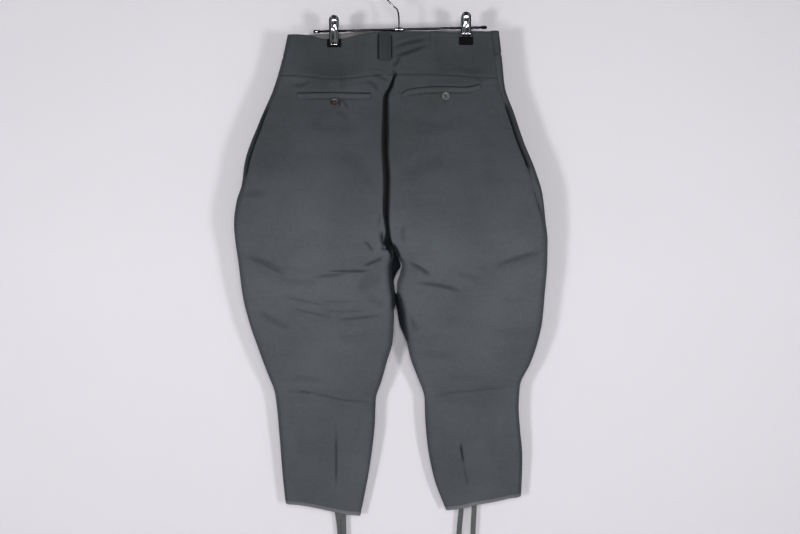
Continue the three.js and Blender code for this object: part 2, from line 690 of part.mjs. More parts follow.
function leverGeometry(out) {
  const halfWidthAt = curve([[-LEVER.top, 2.2], [-LEVER.top + 1.4, 5.4], [-LEVER.top + 5, 8.2],
    [-LEVER.top + 10, LEVER.halfWidth], [12, LEVER.halfWidth], [LEVER.bottom, 7.4]]);
  const standAt = curve([[-LEVER.top, 7.4], [-14, 7], [0, 6], [14, 6.3], [LEVER.bottom, 7]]);
  const drops = [-28, -26.6, -23, -18, -6, 6, 16, LEVER.bottom];
  const grid = drops.map((drop) => spaced(-1, 1, 6).map((t) => new THREE.Vector3(
    halfWidthAt(drop) * sin((t * PI) / 2),
    out * (standAt(drop) + LEVER.bulge * (halfWidthAt(drop) / LEVER.halfWidth) * cos((t * PI) / 2)),
    -drop,
  )));
  return wall(withNormals(grid), LEVER.wall);
}

// A rubber pad of a jaw: a block with rounded corners, thin from front to back.
const PAD = { width: 26, height: 15.5, thickness: 2.8, corner: 1.6 };

function padGeometry() {
  const [w, h, r] = [PAD.width / 2, PAD.height / 2, PAD.corner];
  const shape = new THREE.Shape();
  shape.moveTo(-w + r, -h);
  shape.lineTo(w - r, -h).absarc(w - r, -h + r, r, -PI / 2, 0);
  shape.lineTo(w, h - r).absarc(w - r, h - r, r, 0, PI / 2);
  shape.lineTo(-w + r, h).absarc(-w + r, h - r, r, PI / 2, PI);
  shape.lineTo(-w, -h + r).absarc(-w + r, -h + r, r, PI, 1.5 * PI);
  return new THREE.ExtrudeGeometry(shape, { depth: PAD.thickness, bevelEnabled: false,
    curveSegments: 3 }).rotateX(PI / 2);
}

const PAD_DROP = { left: 121, right: 116.8 };
const PAD_FACE = { back: -2.4, front: 3.0 };

for (const [name, place] of Object.entries(CLIP_PLACES)) {
  const clip = new THREE.Group();
  const onBar = new THREE.Vector3(place, 0, -BAR_DROP);
  clip.position.copy(onBar.applyEuler(hanger.rotation));
  breeches.add(clip);
  addTo(clip, `clip_${name}_lever_back`, leverGeometry(-1), CHROME);
  addTo(clip, `clip_${name}_lever_front`, leverGeometry(1), CHROME);
  addTo(clip, `clip_${name}_spring`, ringGeometry(BAR_RADIUS + 0.4, 4.4, 12), CHROME)
    .rotation.y = hanger.rotation.y;
  const padX = clip.position.x;
  const backPad = addTo(breeches, `clip_${name}_pad_back`, padGeometry(), RUBBER);
  backPad.position.set(padX, PAD_FACE.back, -PAD_DROP[name]);
  const frontPad = addTo(breeches, `clip_${name}_pad_front`, padGeometry(), RUBBER);
  frontPad.position.set(padX, PAD_FACE.front + PAD.thickness, -PAD_DROP[name]);
}

export default breeches;
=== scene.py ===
"""Looks for a pair of grey wool breeches hung by the waist from a clip hanger.

Laid out as an add-on and run as a script. The back of the breeches faces -Y, "left" is -X, and a
"drop" is the distance below the hook's bight. Shapes are worked out in millimetres, and put_mesh
turns them into metres. Each shape is a function of two parameters on a grid.
"""

import math

import bpy
import numpy as np
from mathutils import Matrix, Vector


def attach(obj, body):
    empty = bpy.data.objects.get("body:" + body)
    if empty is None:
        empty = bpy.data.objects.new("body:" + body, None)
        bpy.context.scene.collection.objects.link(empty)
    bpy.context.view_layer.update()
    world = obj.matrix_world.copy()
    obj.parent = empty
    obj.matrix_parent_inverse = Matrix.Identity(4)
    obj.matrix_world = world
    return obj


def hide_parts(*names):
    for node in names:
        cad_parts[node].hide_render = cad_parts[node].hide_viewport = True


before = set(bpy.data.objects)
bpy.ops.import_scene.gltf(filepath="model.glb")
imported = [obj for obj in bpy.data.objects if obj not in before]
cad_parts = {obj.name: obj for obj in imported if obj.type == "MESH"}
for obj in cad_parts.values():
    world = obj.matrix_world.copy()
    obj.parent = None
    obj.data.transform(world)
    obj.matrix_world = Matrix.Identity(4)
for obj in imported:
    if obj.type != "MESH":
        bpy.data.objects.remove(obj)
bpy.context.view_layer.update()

bl_info = {
    "name": "Hung Breeches",
    "version": (1, 0, 0),
    "blender": (4, 5, 0),
    "location": "View3D > Sidebar > Breeches",
    "description": "Wool breeches on a clip hanger, with seams, folds, pockets and tie tapes",
    "category": "Add Mesh",
}

PI = math.pi
MM = 0.001


# ------------------------------------------------------------------------------ mathematics


def mix(a, b, t):
    """From a at t 0 to b at t 1, in a straight line."""
    return a + (b - a) * t


def smooth_step(start, end, value):
    """0 before start and 1 after end, with a cubic that is level at both."""
    t = np.clip((value - start) / (end - start), 0, 1)
    return t * t * (3 - 2 * t)


def curve(points):
    """A smooth curve through [position, value] pairs that never overshoots them: cubic pieces
    whose slope at each point is the harmonic mean of its neighbours' slopes, straight outside."""
    at, value = np.array(points, float).T
    step = np.diff(at)
    slope = np.diff(value) / step
    before = 2 * step[1:] + step[:-1]
    after = step[1:] + 2 * step[:-1]
    turns = slope[:-1] * slope[1:] <= 0
    first = np.where(turns, 1, slope[:-1])
    second = np.where(turns, 1, slope[1:])
    inner = np.where(turns, 0, (before + after) / (before / first + after / second))
    tangent = np.concatenate([slope[:1], inner, slope[-1:]])

    def along(position):
        position = np.asarray(position, float)
        i = np.clip(np.searchsorted(at, position) - 1, 0, len(step) - 1)
        t = (position - at[i]) / step[i]
        inside = np.clip(t, 0, 1)
        bend = inside * inside * (3 - 2 * inside)
        rise = step[i] * inside * (1 - inside)
        smooth = mix(value[i], value[i + 1], bend) + rise * (
            (1 - inside) * tangent[i] - inside * tangent[i + 1]
        )
        return smooth + (t - inside) * step[i] * np.where(t < 0, tangent[0], tangent[-1])

    return along


def unit(vectors):
    """The same directions with length 1."""
    return vectors / np.maximum(np.linalg.norm(vectors, axis=-1, keepdims=True), 1e-12)


def lengths_along(points, axis):
    """How far each grid point lies from the first one of its row or column, along the grid."""
    steps = np.linalg.norm(np.diff(points, axis=axis), axis=-1)
    start = np.zeros_like(np.take(steps, [0], axis=axis))
    return np.concatenate([start, np.cumsum(steps, axis=axis)], axis=axis)


def line_lengths(line):
    """How far each point of one line lies from its first, along the line."""
    return lengths_along(line[None], 1)[0]


def at_lengths(wanted, at, values):
    """Each column of values, known at the lengths at, read off in straight lines at others."""
    return np.stack([np.interp(wanted, at, column) for column in values.T], -1)


# ------------------------------------------------------------------------------ meshes


def put_mesh(name, points, faces, maps=None, slot=None, material=None, stands_for=()):
    """Makes a piece at the origin from points in millimetres, rides it on the one body, and hides
    the CAD nodes that it stands for. maps holds UV maps by name, as a pair for each point."""
    mesh = bpy.data.meshes.new(name)
    points = np.asarray(points, float).reshape(-1, 3) * MM
    mesh.from_pydata(points.tolist(), [], [list(map(int, face)) for face in faces])
    mesh.polygons.foreach_set("use_smooth", np.ones(len(mesh.polygons), bool))
    corner = np.empty(len(mesh.loops), int)
    mesh.loops.foreach_get("vertex_index", corner)
    for label, pairs in (maps or {}).items():
        layer = mesh.uv_layers.new(name=label)
        layer.data.foreach_set("uv", np.asarray(pairs, float).reshape(-1, 2)[corner].ravel())
    mesh.update()
    piece = bpy.data.objects.new(name, mesh)
    bpy.context.scene.collection.objects.link(piece)
    if material is not None:
        mesh.materials.append(material)
    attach(piece, "root")
    if stands_for:
        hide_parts(*stands_for)
    return piece


def grid_faces(rows, columns, first=0, flip=False, ring=False):
    """The four-sided faces of a grid whose points start at first, row by row."""
    r = np.arange(rows - 1)[:, None]
    c = np.arange(columns if ring else columns - 1)[None, :]
    right = (c + 1) % columns
    corners = [r * columns + c, r * columns + right,
               (r + 1) * columns + right, (r + 1) * columns + c]
    faces = np.stack([np.broadcast_to(k, (rows - 1, c.shape[1])) for k in corners], -1) + first
    faces = faces.reshape(-1, 4)
    return faces[:, ::-1] if flip else faces


def grid_normals(points, ring=False):
    """Unit normals of a grid: the direction along a row crossed with the direction down."""
    if ring:
        along = np.roll(points, -1, 1) - np.roll(points, 1, 1)
    else:
        along = np.gradient(points, axis=1)
    return unit(np.cross(along, np.gradient(points, axis=0)))


def shell(points, normals, thickness, ring=False):
    """A closed wall on a grid: one layer half the thickness out along the normals, one as far in,
    and between them at the edges a middle line that stands out a quarter of the thickness, so
    that the edge is round. Rows crossed with columns point out."""
    rows, columns = points.shape[:2]
    count = rows * columns
    out = points + normals * thickness / 2
    back = points - normals * thickness / 2
    faces = [grid_faces(rows, columns, 0, False, ring),
             grid_faces(rows, columns, count, True, ring)]
    number = np.arange(count).reshape(rows, columns)
    if ring:
        loops = [(number[0], points[0] - points[1]),
                 (number[-1][::-1], (points[-1] - points[-2])[::-1])]
    else:
        edge = np.concatenate([number[0], number[1:, -1], number[-1, :-1][::-1],
                               number[1:-1, 0][::-1]])
        away = np.zeros_like(points)
        away[0] += unit(points[0] - points[1])
        away[-1] += unit(points[-1] - points[-2])
        away[:, 0] += unit(points[:, 0] - points[:, 1])
        away[:, -1] += unit(points[:, -1] - points[:, -2])
        loops = [(edge, away.reshape(-1, 3)[edge])]
    places = [out.reshape(-1, 3), back.reshape(-1, 3)]
    base = 2 * count
    for edge, away in loops:
        middle = points.reshape(-1, 3)[edge] + unit(away) * thickness / 4
        places.append(middle)
        here = np.arange(len(edge))
        after = np.roll(here, -1)
        faces.append(np.stack([base + here, base + after, edge[after], edge[here]], -1))
        faces.append(np.stack([edge[here] + count, edge[after] + count,
                               base + after, base + here], -1))
        base += len(edge)
    return np.concatenate(places), np.concatenate(faces), [edge for edge, _ in loops]


def put_shell(name, points, thickness, ring=False, hollow=None, **said):
    """A closed wall of cloth on a grid of its middle surface. One UV map holds the distances across
    and down it in metres. The other holds painted shade, from 0 to 1: how far the colour is painted
    darker where shade falls in creases, the cleft and other recesses."""
    places, faces, loops = shell(points, grid_normals(points, ring), thickness, ring)
    # deep is the painted shade at each point, none where it isn't given.
    deep = np.zeros(points.shape[:2]) if hollow is None else hollow
    maps = {"cloth": np.stack([lengths_along(points, 1), -lengths_along(points, 0)], -1) * MM,
            "hollow": np.stack([deep, 0 * deep], -1)}
    for label, grid in maps.items():
        flat = grid.reshape(-1, 2)
        maps[label] = np.concatenate([flat, flat] + [flat[edge] for edge in loops])
    return put_mesh(name, places, faces, maps, **said)


def turned_rings(profile, origin, axis, sides):
    """A ring of points for each (radius, height) pair, about an axis direction from an origin."""
    profile = np.asarray(profile, float)
    axis = unit(np.asarray(axis, float))
    helper = np.array([0.0, 0.0, 1.0]) if abs(axis[2]) < 0.9 else np.array([1.0, 0.0, 0.0])
    side = unit(np.cross(helper, axis))
    angle = np.linspace(0, 2 * PI, sides, endpoint=False)[:, None]
    round_ = np.cos(angle) * side + np.sin(angle) * np.cross(axis, side)
    return np.asarray(origin, float) + profile[:, None, :1] * round_ + profile[:, None, 1:] * axis


def lathe(profile, origin, axis, sides):
    """A solid of revolution. Its profile starts and ends on the axis."""
    profile = np.asarray(profile, float)
    rings = turned_rings(profile[1:-1], origin, axis, sides)
    ends = turned_rings(profile[[0, -1]], origin, axis, sides)[:, 0]
    low = len(rings) * sides
    last = low - sides
    faces = grid_faces(len(rings), sides, ring=True).tolist()
    turn = [(k + 1) % sides for k in range(sides)]
    faces += [[low, turn[k], k] for k in range(sides)]
    faces += [[last + k, last + turn[k], low + 1] for k in range(sides)]
    return np.concatenate([rings.reshape(-1, 3), ends]), faces


def lathe_ring(profile, origin, axis, sides):
    """A closed profile turned about an axis that it doesn't touch."""
    rings = turned_rings(profile, origin, axis, sides)
    faces = grid_faces(len(rings) + 1, sides, ring=True) % (len(rings) * sides)
    return rings.reshape(-1, 3), faces


def path_frames(path, width_way=(1.0, 0.0, 0.0)):
    """The direction of a path at each point, a width direction square to it that stays as near as
    it can to width_way, and the third direction."""
    along = unit(np.gradient(path, axis=0))
    wide = np.asarray(width_way, float) - along * (along @ np.asarray(width_way, float))[:, None]
    wide = unit(wide)
    return along, wide, np.cross(wide, along)


# A rod's domed end: the radii of its last sections and how far they stand beyond the path's end,
# both as shares of the rod's radius.
DOME_RADII = np.array([0.25, 0.6, 0.88])
DOME_REACH = np.array([0.95, 0.8, 0.45])


def capped(rings):
    """A stack of rings as a solid with two flat ends. Rows crossed with columns point in."""
    rows, sides = rings.shape[:2]
    faces = grid_faces(rows, sides, flip=True, ring=True).tolist()
    faces.append(list(range(sides)))
    faces.append(list(range((rows - 1) * sides, rows * sides))[::-1])
    return rings.reshape(-1, 3), faces


def rod(path, radius, sides, width_way=(0.0, 1.0, 0.0)):
    """A round rod along a path, with domed ends."""
    path = np.asarray(path, float)
    along, wide, third = path_frames(path, width_way)
    sizes = np.concatenate([DOME_RADII, np.ones(len(path)), DOME_RADII[::-1]]) * radius
    head = path[0] - along[0] * radius * DOME_REACH[:, None]
    tail = path[-1] + along[-1] * radius * DOME_REACH[::-1][:, None]
    centres = np.concatenate([head, path, tail])[:, None]
    wide, third = (np.concatenate([v[[0] * 3], v, v[[-1] * 3]])[:, None] for v in (wide, third))
    angle = np.linspace(0, 2 * PI, sides, endpoint=False)[:, None]
    return capped(centres + sizes[:, None, None] * (np.cos(angle) * wide + np.sin(angle) * third))


def smooth_path(points, count):
    """A smooth path through points: each coordinate is a curve over the length along the points."""
    points = np.asarray(points, float)
    at = line_lengths(points)
    wanted = np.linspace(0, at[-1], count)
    return np.stack([curve(np.stack([at, column], -1))(wanted) for column in points.T], -1)


def join(shapes):
    """Several (points, faces) shapes as one."""
    points, faces, first = [], [], 0
    for some_points, some_faces in shapes:
        points.append(some_points)
        faces += [[int(corner) + first for corner in face] for face in some_faces]
        first += len(some_points)
    return np.concatenate(points), faces


# ------------------------------------------------------------------------------ outlines


CLOTH = 1.6
THIN_CLOTH = 1.0
SEAM_GAP = 0.3
CROTCH_DROP = 519.0
SEAT_DROP = 385.0
CALF_DROP = 780.0
BINDING_HEIGHT = 6.2
BAND_HEIGHT = 42.0
FACING_HEIGHT = 34.0
LIE_GAP = 0.6

# x against drop for the silhouette, the inseam, the side seam's inset on the back, the rounding
# beside the centre-back seam and the fold that hangs behind the inseam; then drops against the
# share of the width for the lines that the cloth is cut on.
HALVES = {
    "left": {
        "side": -1,
        "outer": curve([[95, -203.5], [106, -205.6], [150, -215], [204, -230.5], [267, -257],
                        [344, -284.7], [387, -290.5], [417, -299.7], [457, -304.6], [539, -295.6],
                        [594, -288.5], [640, -277.2], [689, -260.4], [744, -239.9], [765, -231.3],
                        [780, -227.9], [859, -220], [920, -215.2], [981, -209.2]]),
        "inseam": curve([[519, -8], [537, -12.7], [565, -11.7], [603, -8], [625, -8], [678, -10.8],
                         [715, -21.1], [749, -30.4], [787, -42.2], [831, -43.9], [866, -47.3],
                         [919, -54.7], [1000, -70.4]]),
        "inset": curve([[100, 3], [229, 4], [277, 6], [322, 8], [378, 6], [420, 3], [1000, 2]]),
        "valley": curve([[100, 12], [176, 4], [190, 3], [204, 5.6], [229, 6.2], [378, 9.8],
                         [444, 8.4], [474, 7], [496, 11], [508, 11.5], [519, 10]]),
        "pit": (0.0, 1.0),
        "fold": curve([[0, 0], [500, 0], [519, 9], [537, 20], [550, 12], [567, 6], [584, 6],
                       [596, 9], [608, 7], [630, 0], [1000, 0]]),
        "waist": curve([[0, 102.5], [0.17, 105], [0.48, 113], [0.65, 113], [0.89, 106.4],
                        [1, 105.5]]),
        "front_waist": curve([[0, 96.5], [0.25, 100], [0.5, 103.6], [0.75, 103.8], [1, 105.5]]),
        "yoke": curve([[0, 180.5], [0.5, 189], [1, 182]]),
        "hem": curve([[0, 1004], [0.3, 995.5], [0.55, 990], [1, 980.5]]),
        "slit": (231, 384),
    },
    "right": {
        "side": 1,
        "outer": curve([[95, 187.6], [106, 189], [154, 194], [204, 199.2], [251, 215.5],
                        [309, 235.1], [360, 255.7], [405, 268.8], [454, 274.4], [492, 278.1],
                        [528, 277.6], [594, 272.5], [640, 268.4], [676, 260.6], [717, 246.9],
                        [758, 227.6], [777, 225.4], [802, 224.5], [843, 227.3], [894, 231.4],
                        [967, 229.3]]),
        "inseam": curve([[519, -2.4], [534, 8.5], [550, 5.1], [569, -0.5], [584, -1.4], [603, 4],
                         [625, 8.8], [676, 16.3], [715, 25.7], [739, 35], [787, 50.7],
                         [812, 51.3], [855, 54.3], [886, 58.2], [935, 68.7], [993, 90.4]]),
        "inset": curve([[98, 14.6], [186, 13], [216, 10], [281, 11], [337, 12], [367, 14],
                        [409, 11], [444, 7], [480, 3], [1000, 2]]),
        "valley": curve([[100, 14], [182, 14], [229, 22], [444, 22], [490, 14], [519, 12]]),
        "pit": (0.0, 0.31),
        "fold": curve([[0, 0], [582, 0], [600, 13], [640, 13], [668, 6], [692, 0], [1000, 0]]),
        "waist": curve([[0, 102.5], [0.2, 100.2], [0.65, 100.6], [1, 98.4]]),
        "front_waist": curve([[0, 96.5], [0.3, 95.8], [0.6, 97], [0.85, 97.6], [1, 98.4]]),
        "yoke": curve([[0, 180.5], [0.3, 181], [1, 188]]),
        "hem": curve([[0, 993.5], [0.35, 983], [0.78, 975], [1, 967]]),
        "slit": (225, 372),
    },
}

back_seam_x = curve([[101, -20], [150, -22], [168, -12], [182, -5.5], [190, -9], [204, -12.8],
                     [218, -20.4], [229, -22.8], [320, -22.6], [378, -19], [444, -21],
                     [481, -16.5], [519, -5.2]])
back_seam_y = curve([[100, -9], [160, -13.5], [182, -13], [200, -5], [229, 1], [320, 4],
                     [400, 0], [444, -4], [495, -1], [519, 4]])
front_seam_x = curve([[95, -9], [300, -9], [480, -7], [519, -5.2]])
front_seam_y = curve([[95, 6], [240, 13], [400, 16], [480, 13], [519, 4]])
inseam_y = curve([[519, 4], [600, -2], [1000, -1]])
silhouette_y = curve([[95, 0], [300, -4], [430, -6], [760, -4], [1000, -1]])
back_depth = curve([[98, 12], [145, 16], [185, 20], [240, 30], [320, 38], [430, 39], [519, 36],
                    [600, 31], [700, 28], [748, 25], [778, 19], [860, 18], [930, 16], [1005, 11]])
front_depth = curve([[95, 9], [145, 11], [240, 18], [350, 22], [480, 24], [600, 24], [748, 21],
                     [778, 15], [860, 14], [1005, 9]])
edge_round = curve([[95, 7], [185, 9], [300, 13], [430, 15], [600, 15], [748, 13], [780, 10],
                    [1005, 8]])
inseam_round = curve([[519, 11], [560, 14], [700, 13], [780, 10], [1005, 8]])
across_of_way = curve([[0, 0], [1, 0.06], [2, 0.95], [3, 1]])

CLIP_PINCH = {"places": (-119.4, 127.2), "flat": 27, "spread": 74, "firm": 134, "gone": 205}
BACK_PINCH_Y = -1.3
FRONT_PINCH_Y = 1.9
SEAM_WAY = 2.9


# ------------------------------------------------------------------------------ creases


def from_line(here, line):
    """How points lie from each stretch of a line: the offset from the stretch's nearest place,
    that place as a share of the stretch, and the stretch itself."""
    start, way = line[:-1], np.diff(line, axis=0)
    t = np.clip(((here - start) * way).sum(-1) / (way * way).sum(-1), 0, 1)
    return here - start - t[..., None] * way, t, way


def crease_depths(creases, x, drop, fade_over=0.35):
    """Outward height of a set of creases in millimetres, and the shade painted into them. A crease is
    a smooth line with a depth, a width and a lip. Its trough is a bell curve of the distance to the
    line, the lip is a second bell curve beside it, on the line's right-hand side if it is positive
    and on its left if it is negative, and both fade out over a share of the line at each end. The
    painted shade is a narrower bell curve, strong for deep narrow creases and weak for wide ones."""
    height = np.zeros(np.broadcast(x, drop).shape)
    hollow = height.copy()
    for points, depth, width, lip in creases:
        line = np.array(points, float)
        reach = 4 * width
        near = (
            (x > line[:, 0].min() - reach) & (x < line[:, 0].max() + reach)
            & (drop > line[:, 1].min() - reach) & (drop < line[:, 1].max() + reach)
        )
        if not near.any():
            continue
        if len(line) > 2:
            line = smooth_path(line, 12)
        away, t, way = from_line(np.stack([x[near], drop[near]], -1)[:, None], line)
        distance = np.linalg.norm(away, axis=-1)
        nearest = distance.argmin(1)
        pick = np.arange(len(nearest)), nearest
        distance, away, t, way = distance[pick], away[pick], t[pick], way[nearest]
        cross = way[:, 0] * away[:, 1] - way[:, 1] * away[:, 0]
        at = line_lengths(line)
        share = (at[nearest] + t * np.linalg.norm(way, axis=1)) / at[-1]
        fade = smooth_step(0, fade_over, share) * smooth_step(0, fade_over, 1 - share)
        r = np.sign(cross) * distance / width
        side = 1 if lip >= 0 else -1
        ridge = abs(lip) * np.exp(-((r * side - 1.7) ** 2))
        trough = np.exp(-r * r)
        height[near] += depth * fade * (ridge * 0.5 - trough)
        # Painted shade in the trough, darkest for deep narrow creases.
        sharp = min(1, depth * CREASE_GAIN / 5) / (1 + (width / 4) ** 2)
        hollow[near] = np.maximum(hollow[near], 0.85 * sharp * fade * trough ** 2.5)
    return height * CREASE_GAIN, hollow


# Broad soft folds: line, depth, width. They are deep enough to be part of the pieces' form.
BROAD_FOLDS = [
    ([[-290, 508], [-259, 526], [-202, 556]], 5, 13),
    ([[-270, 617], [-217, 644], [-180, 660]], 4, 14),
    ([[276, 506], [238, 518], [165, 541]], 5, 13),
    ([[18, 531], [66, 557], [120, 583]], 4, 12),
    ([[-225, 776], [-141, 777], [-43, 787]], 3, 10),
    ([[51, 785], [139, 770], [225, 763]], 3, 10),
]

# How much deeper creases are than their listed depths.
CREASE_GAIN = 2.3

# Sharp lines that keep their depth to the end: the back pockets' mouths, just above their welts,
# and the yoke beside the belt loop.
SHARP_LINES = [
    ([[-187, 217.9], [-120, 217.3], [-49, 218.1]], 2.4, 1.9, 0.0),
    ([[6, 219.5], [14, 213.5], [22, 209.9], [72, 205.8], [125, 206.8], [153, 201.5]], 2.4, 1.9, 0.0),
    ([[-36.4, 103], [-36.6, 153]], 2.0, 1.7, 0.0),
    ([[-11.8, 108], [-11.8, 152]], 1.6, 1.4, 0.0),
]

# Creases of the back: line, depth, width, lip.
BACK_CREASES = [
    # where the cloth sags below the pockets
    ([[-190, 229.5], [-120, 229.0], [-47, 229.8]], 0.9, 1.6, 0.4),
    ([[6, 229], [24, 221], [72, 217.0], [125, 218], [153, 213]], 0.9, 1.6, 0.4),
    ([[-110, 246], [-107, 234], [-104, 228]], 1.4, 2.0, 0.6),
    ([[-104, 228], [-98, 236], [-92, 246]], 1.4, 2.0, 0.6),
    # the yoke beside the belt loop
    ([[-14, 150], [18, 139], [60, 124]], 2.2, 4.0, 0.9),
    ([[-12, 131], [20, 121], [60, 112]], 2.0, 3.6, -0.9),
    ([[-12, 168], [-2, 158], [4, 146]], 1.8, 3.0, 0.9),
    ([[-48, 181], [-30, 186], [-14, 194]], 1.6, 3.2, -0.9),
    ([[-60, 190], [-44, 200], [-36, 214]], 1.3, 4.5, 0.8),
    ([[-104, 152], [-104, 186], [-103, 220]], 0.9, 4.0, 0.5),
    ([[-147, 150], [-140, 180], [-132, 212]], 0.8, 9.0, 0.3),
    ([[60, 98], [61, 110], [59, 122]], 0.8, 2.4, 0.6),
    ([[96, 160], [128, 168], [170, 166]], 0.8, 7.0, 0.5),
    ([[-203, 199], [-180, 200], [-158, 189]], 1.1, 5.0, 0.7),
    ([[140, 185], [150, 190], [160, 196]], 0.8, 3.5, 0.6),
    # the seat
    ([[-116, 248], [-100, 258], [-84, 269]], 1.0, 5.0, 0.6),
    ([[-180, 258], [-120, 278], [-50, 268]], 1.5, 13.0, 0.6),
    ([[10, 258], [70, 272], [150, 256]], 1.3, 13.0, 0.6),
    ([[-120, 320], [-70, 346], [-34, 402]], 1.6, 15.0, 0.6),
    ([[0, 380], [36, 352], [100, 330]], 1.8, 14.0, 0.6),
    ([[-200, 300], [-170, 340], [-160, 400]], 1.2, 18.0, 0.6),
    ([[200, 290], [176, 340], [170, 400]], 1.2, 18.0, 0.6),
    ([[-292, 404], [-262, 402], [-238, 409]], 1.2, 6.0, 0.6),
    ([[243, 380], [256, 412], [268, 448]], 1.6, 3.6, -0.7),
    # thigh, left
    ([[-138, 546], [-90, 547], [-40, 546]], 2.4, 2.6, 0.9),
    ([[-158, 558], [-122, 554], [-88, 551]], 1.6, 3.2, 0.7),
    ([[-68, 539], [-45, 530], [-23, 519]], 2.2, 3.0, 0.8),
    ([[-63, 490], [-53, 500], [-45, 513]], 2.0, 2.4, -0.8),
    ([[-30, 470], [-28, 488], [-21, 507]], 4.6, 4.2, 0.5),
    ([[-34, 505], [-24, 506], [-14, 505]], 2.6, 2.2, 0.0),
    ([[-28, 548], [-52, 566], [-78, 580]], 3.2, 11.0, 0.3),
    ([[-215, 592], [-164, 604], [-118, 612]], 1.1, 2.4, 0.9),
    ([[-205, 612], [-166, 622], [-112, 634]], 1.1, 2.6, 0.9),
    ([[-176, 598], [-120, 603], [-62, 602]], 0.8, 2.2, 0.9),
    ([[-150, 617], [-100, 622], [-46, 618]], 0.8, 2.2, 0.9),
    ([[-120, 637], [-70, 633], [-20, 626]], 1.5, 2.6, 0.8),
    ([[-268, 616], [-240, 632], [-217, 644], [-192, 656]], 1.2, 4.0, 0.8),
    ([[-288, 516], [-259, 526], [-230, 540], [-200, 556]], 1.6, 4.0, 0.8),
    ([[-210, 562], [-176, 566], [-140, 562]], 0.9, 5.0, 0.6),
    ([[-60, 584], [-40, 600], [-14, 610]], 1.4, 7.0, 0.5),
    ([[-120, 664], [-80, 668], [-40, 660]], 0.9, 7.0, 0.5),
    ([[-225, 690], [-190, 700], [-150, 700]], 0.9, 9.0, 0.5),
    # thigh, right
    ([[16, 530], [38, 540], [64, 557]], 2.8, 2.8, -0.8),
    ([[24, 567], [72, 571], [124, 584]], 2.0, 4.2, 0.8),
    ([[277, 507], [238, 518], [168, 541]], 1.7, 4.0, 0.9),
    ([[18, 625], [27, 642], [38, 662]], 1.6, 5.0, 0.5),
    ([[100, 545], [130, 556], [160, 560]], 0.8, 6.0, 0.6),
    ([[60, 640], [110, 636], [150, 646]], 0.8, 8.0, 0.5),
    ([[180, 650], [215, 660], [250, 654]], 0.8, 9.0, 0.5),
    ([[30, 686], [70, 700], [110, 704]], 0.9, 8.0, 0.5),
    # the crotch, where folds meet
    ([[12, 500], [8, 478], [12, 456]], 1.2, 4.0, 0.5),
    ([[-36, 470], [-34, 452], [-32, 436]], 1.0, 3.0, 0.4),
    # the knee
    ([[-228, 777], [-176, 772], [-141, 777], [-92, 787], [-36, 789]], 0.8, 2.0, 1.4),
    ([[-186, 771], [-173, 773], [-160, 776]], 1.6, 2.4, 0.0),
    ([[44, 788], [84, 777], [139, 769], [232, 762]], 0.8, 2.0, 1.4),
    ([[-215, 752], [-175, 745], [-130, 752]], 1.2, 7.0, 0.5),
    ([[70, 748], [120, 742], [180, 748]], 1.1, 7.0, 0.5),
    # calf darts and soft folds
    ([[-114.6, 834], [-114.6, 896], [-114.6, 958]], 1.7, 2.0, 0.6),
    ([[115.6, 862], [118, 880], [122.6, 908]], 3.0, 2.2, -0.5),
    ([[120, 900], [126, 926], [131, 956]], 1.0, 2.4, -0.5),
    ([[-190, 800], [-180, 850], [-184, 900]], 0.8, 9.0, 0.4),
    ([[180, 800], [176, 850], [184, 910]], 0.8, 9.0, 0.4),
    ([[-70, 810], [-74, 840], [-84, 880]], 0.8, 8.0, 0.4),
    ([[80, 812], [84, 842], [92, 880]], 0.8, 8.0, 0.4),
]

# Creases of the front, plainer than the back's.
FRONT_CREASES = [
    ([[-230, 500], [-180, 520], [-110, 526]], 3.0, 9.0, 0.6),
    ([[-60, 470], [-90, 520], [-140, 560]], 3.0, 8.0, 0.6),
    ([[-270, 600], [-210, 628], [-140, 630]], 2.2, 8.0, 0.6),
    ([[230, 500], [180, 518], [100, 524]], 3.0, 9.0, 0.6),
    ([[40, 470], [70, 522], [130, 562]], 3.0, 8.0, 0.6),
    ([[260, 604], [200, 626], [130, 624]], 2.2, 8.0, 0.6),
    ([[-120, 150], [-118, 230], [-112, 330]], 1.6, 7.0, 0.5),
    ([[110, 150], [108, 230], [104, 330]], 1.6, 7.0, 0.5),
    ([[-200, 240], [-150, 262], [-90, 258]], 1.0, 10.0, 0.4),
    ([[180, 240], [140, 258], [80, 256]], 1.0, 10.0, 0.4),
    ([[-225, 776], [-141, 777], [-43, 787]], 3.6, 5.0, 0.7),
    ([[51, 785], [139, 770], [225, 763]], 3.6, 5.0, 0.7),
    ([[-200, 742], [-150, 734], [-90, 744]], 2.0, 8.0, 0.6),
    ([[90, 740], [140, 730], [200, 738]], 2.0, 8.0, 0.6),
    ([[-132, 830], [-132, 890], [-130, 960]], 0.9, 6.0, 0.5),
    ([[146, 830], [148, 890], [150, 950]], 0.9, 6.0, 0.5),
    ([[-190, 680], [-150, 690], [-100, 680]], 1.2, 10.0, 0.5),
    ([[100, 676], [150, 688], [200, 676]], 1.2, 10.0, 0.5),
]


def drape(x, drop, seed):
    """Soft unevenness of hung cloth in millimetres: long waves in a few directions, and a fine
    crinkle whose strength itself comes and goes. Directions turn by the golden angle."""
    turn = 2.399963
    height = np.zeros(np.broadcast(x, drop).shape)
    for k, (length, size) in enumerate([(210, 0.7), (140, 0.55), (96, 0.4), (63, 0.25)]):
        angle = seed + turn * k
        height += size * np.sin(2 * PI * (x * math.cos(angle) + drop * math.sin(angle)) / length)
    patch = 0.5 + 0.5 * np.sin(x / 37 + seed) * np.sin(drop / 49 + 2 * seed)
    for k, (length, size) in enumerate([(31, 0.12), (23, 0.1), (17, 0.07), (12, 0.05)]):
        angle = 1.3 * seed + turn * (k + 5)
        bent = 6 * np.sin(drop / 60 + k) + 5 * np.cos(x / 45 + k)
        wave = x * math.cos(angle) + drop * math.sin(angle) + bent
        height += size * patch * np.sin(2 * PI * wave / length)
    return height


# ------------------------------------------------------------------------------ cloth surface


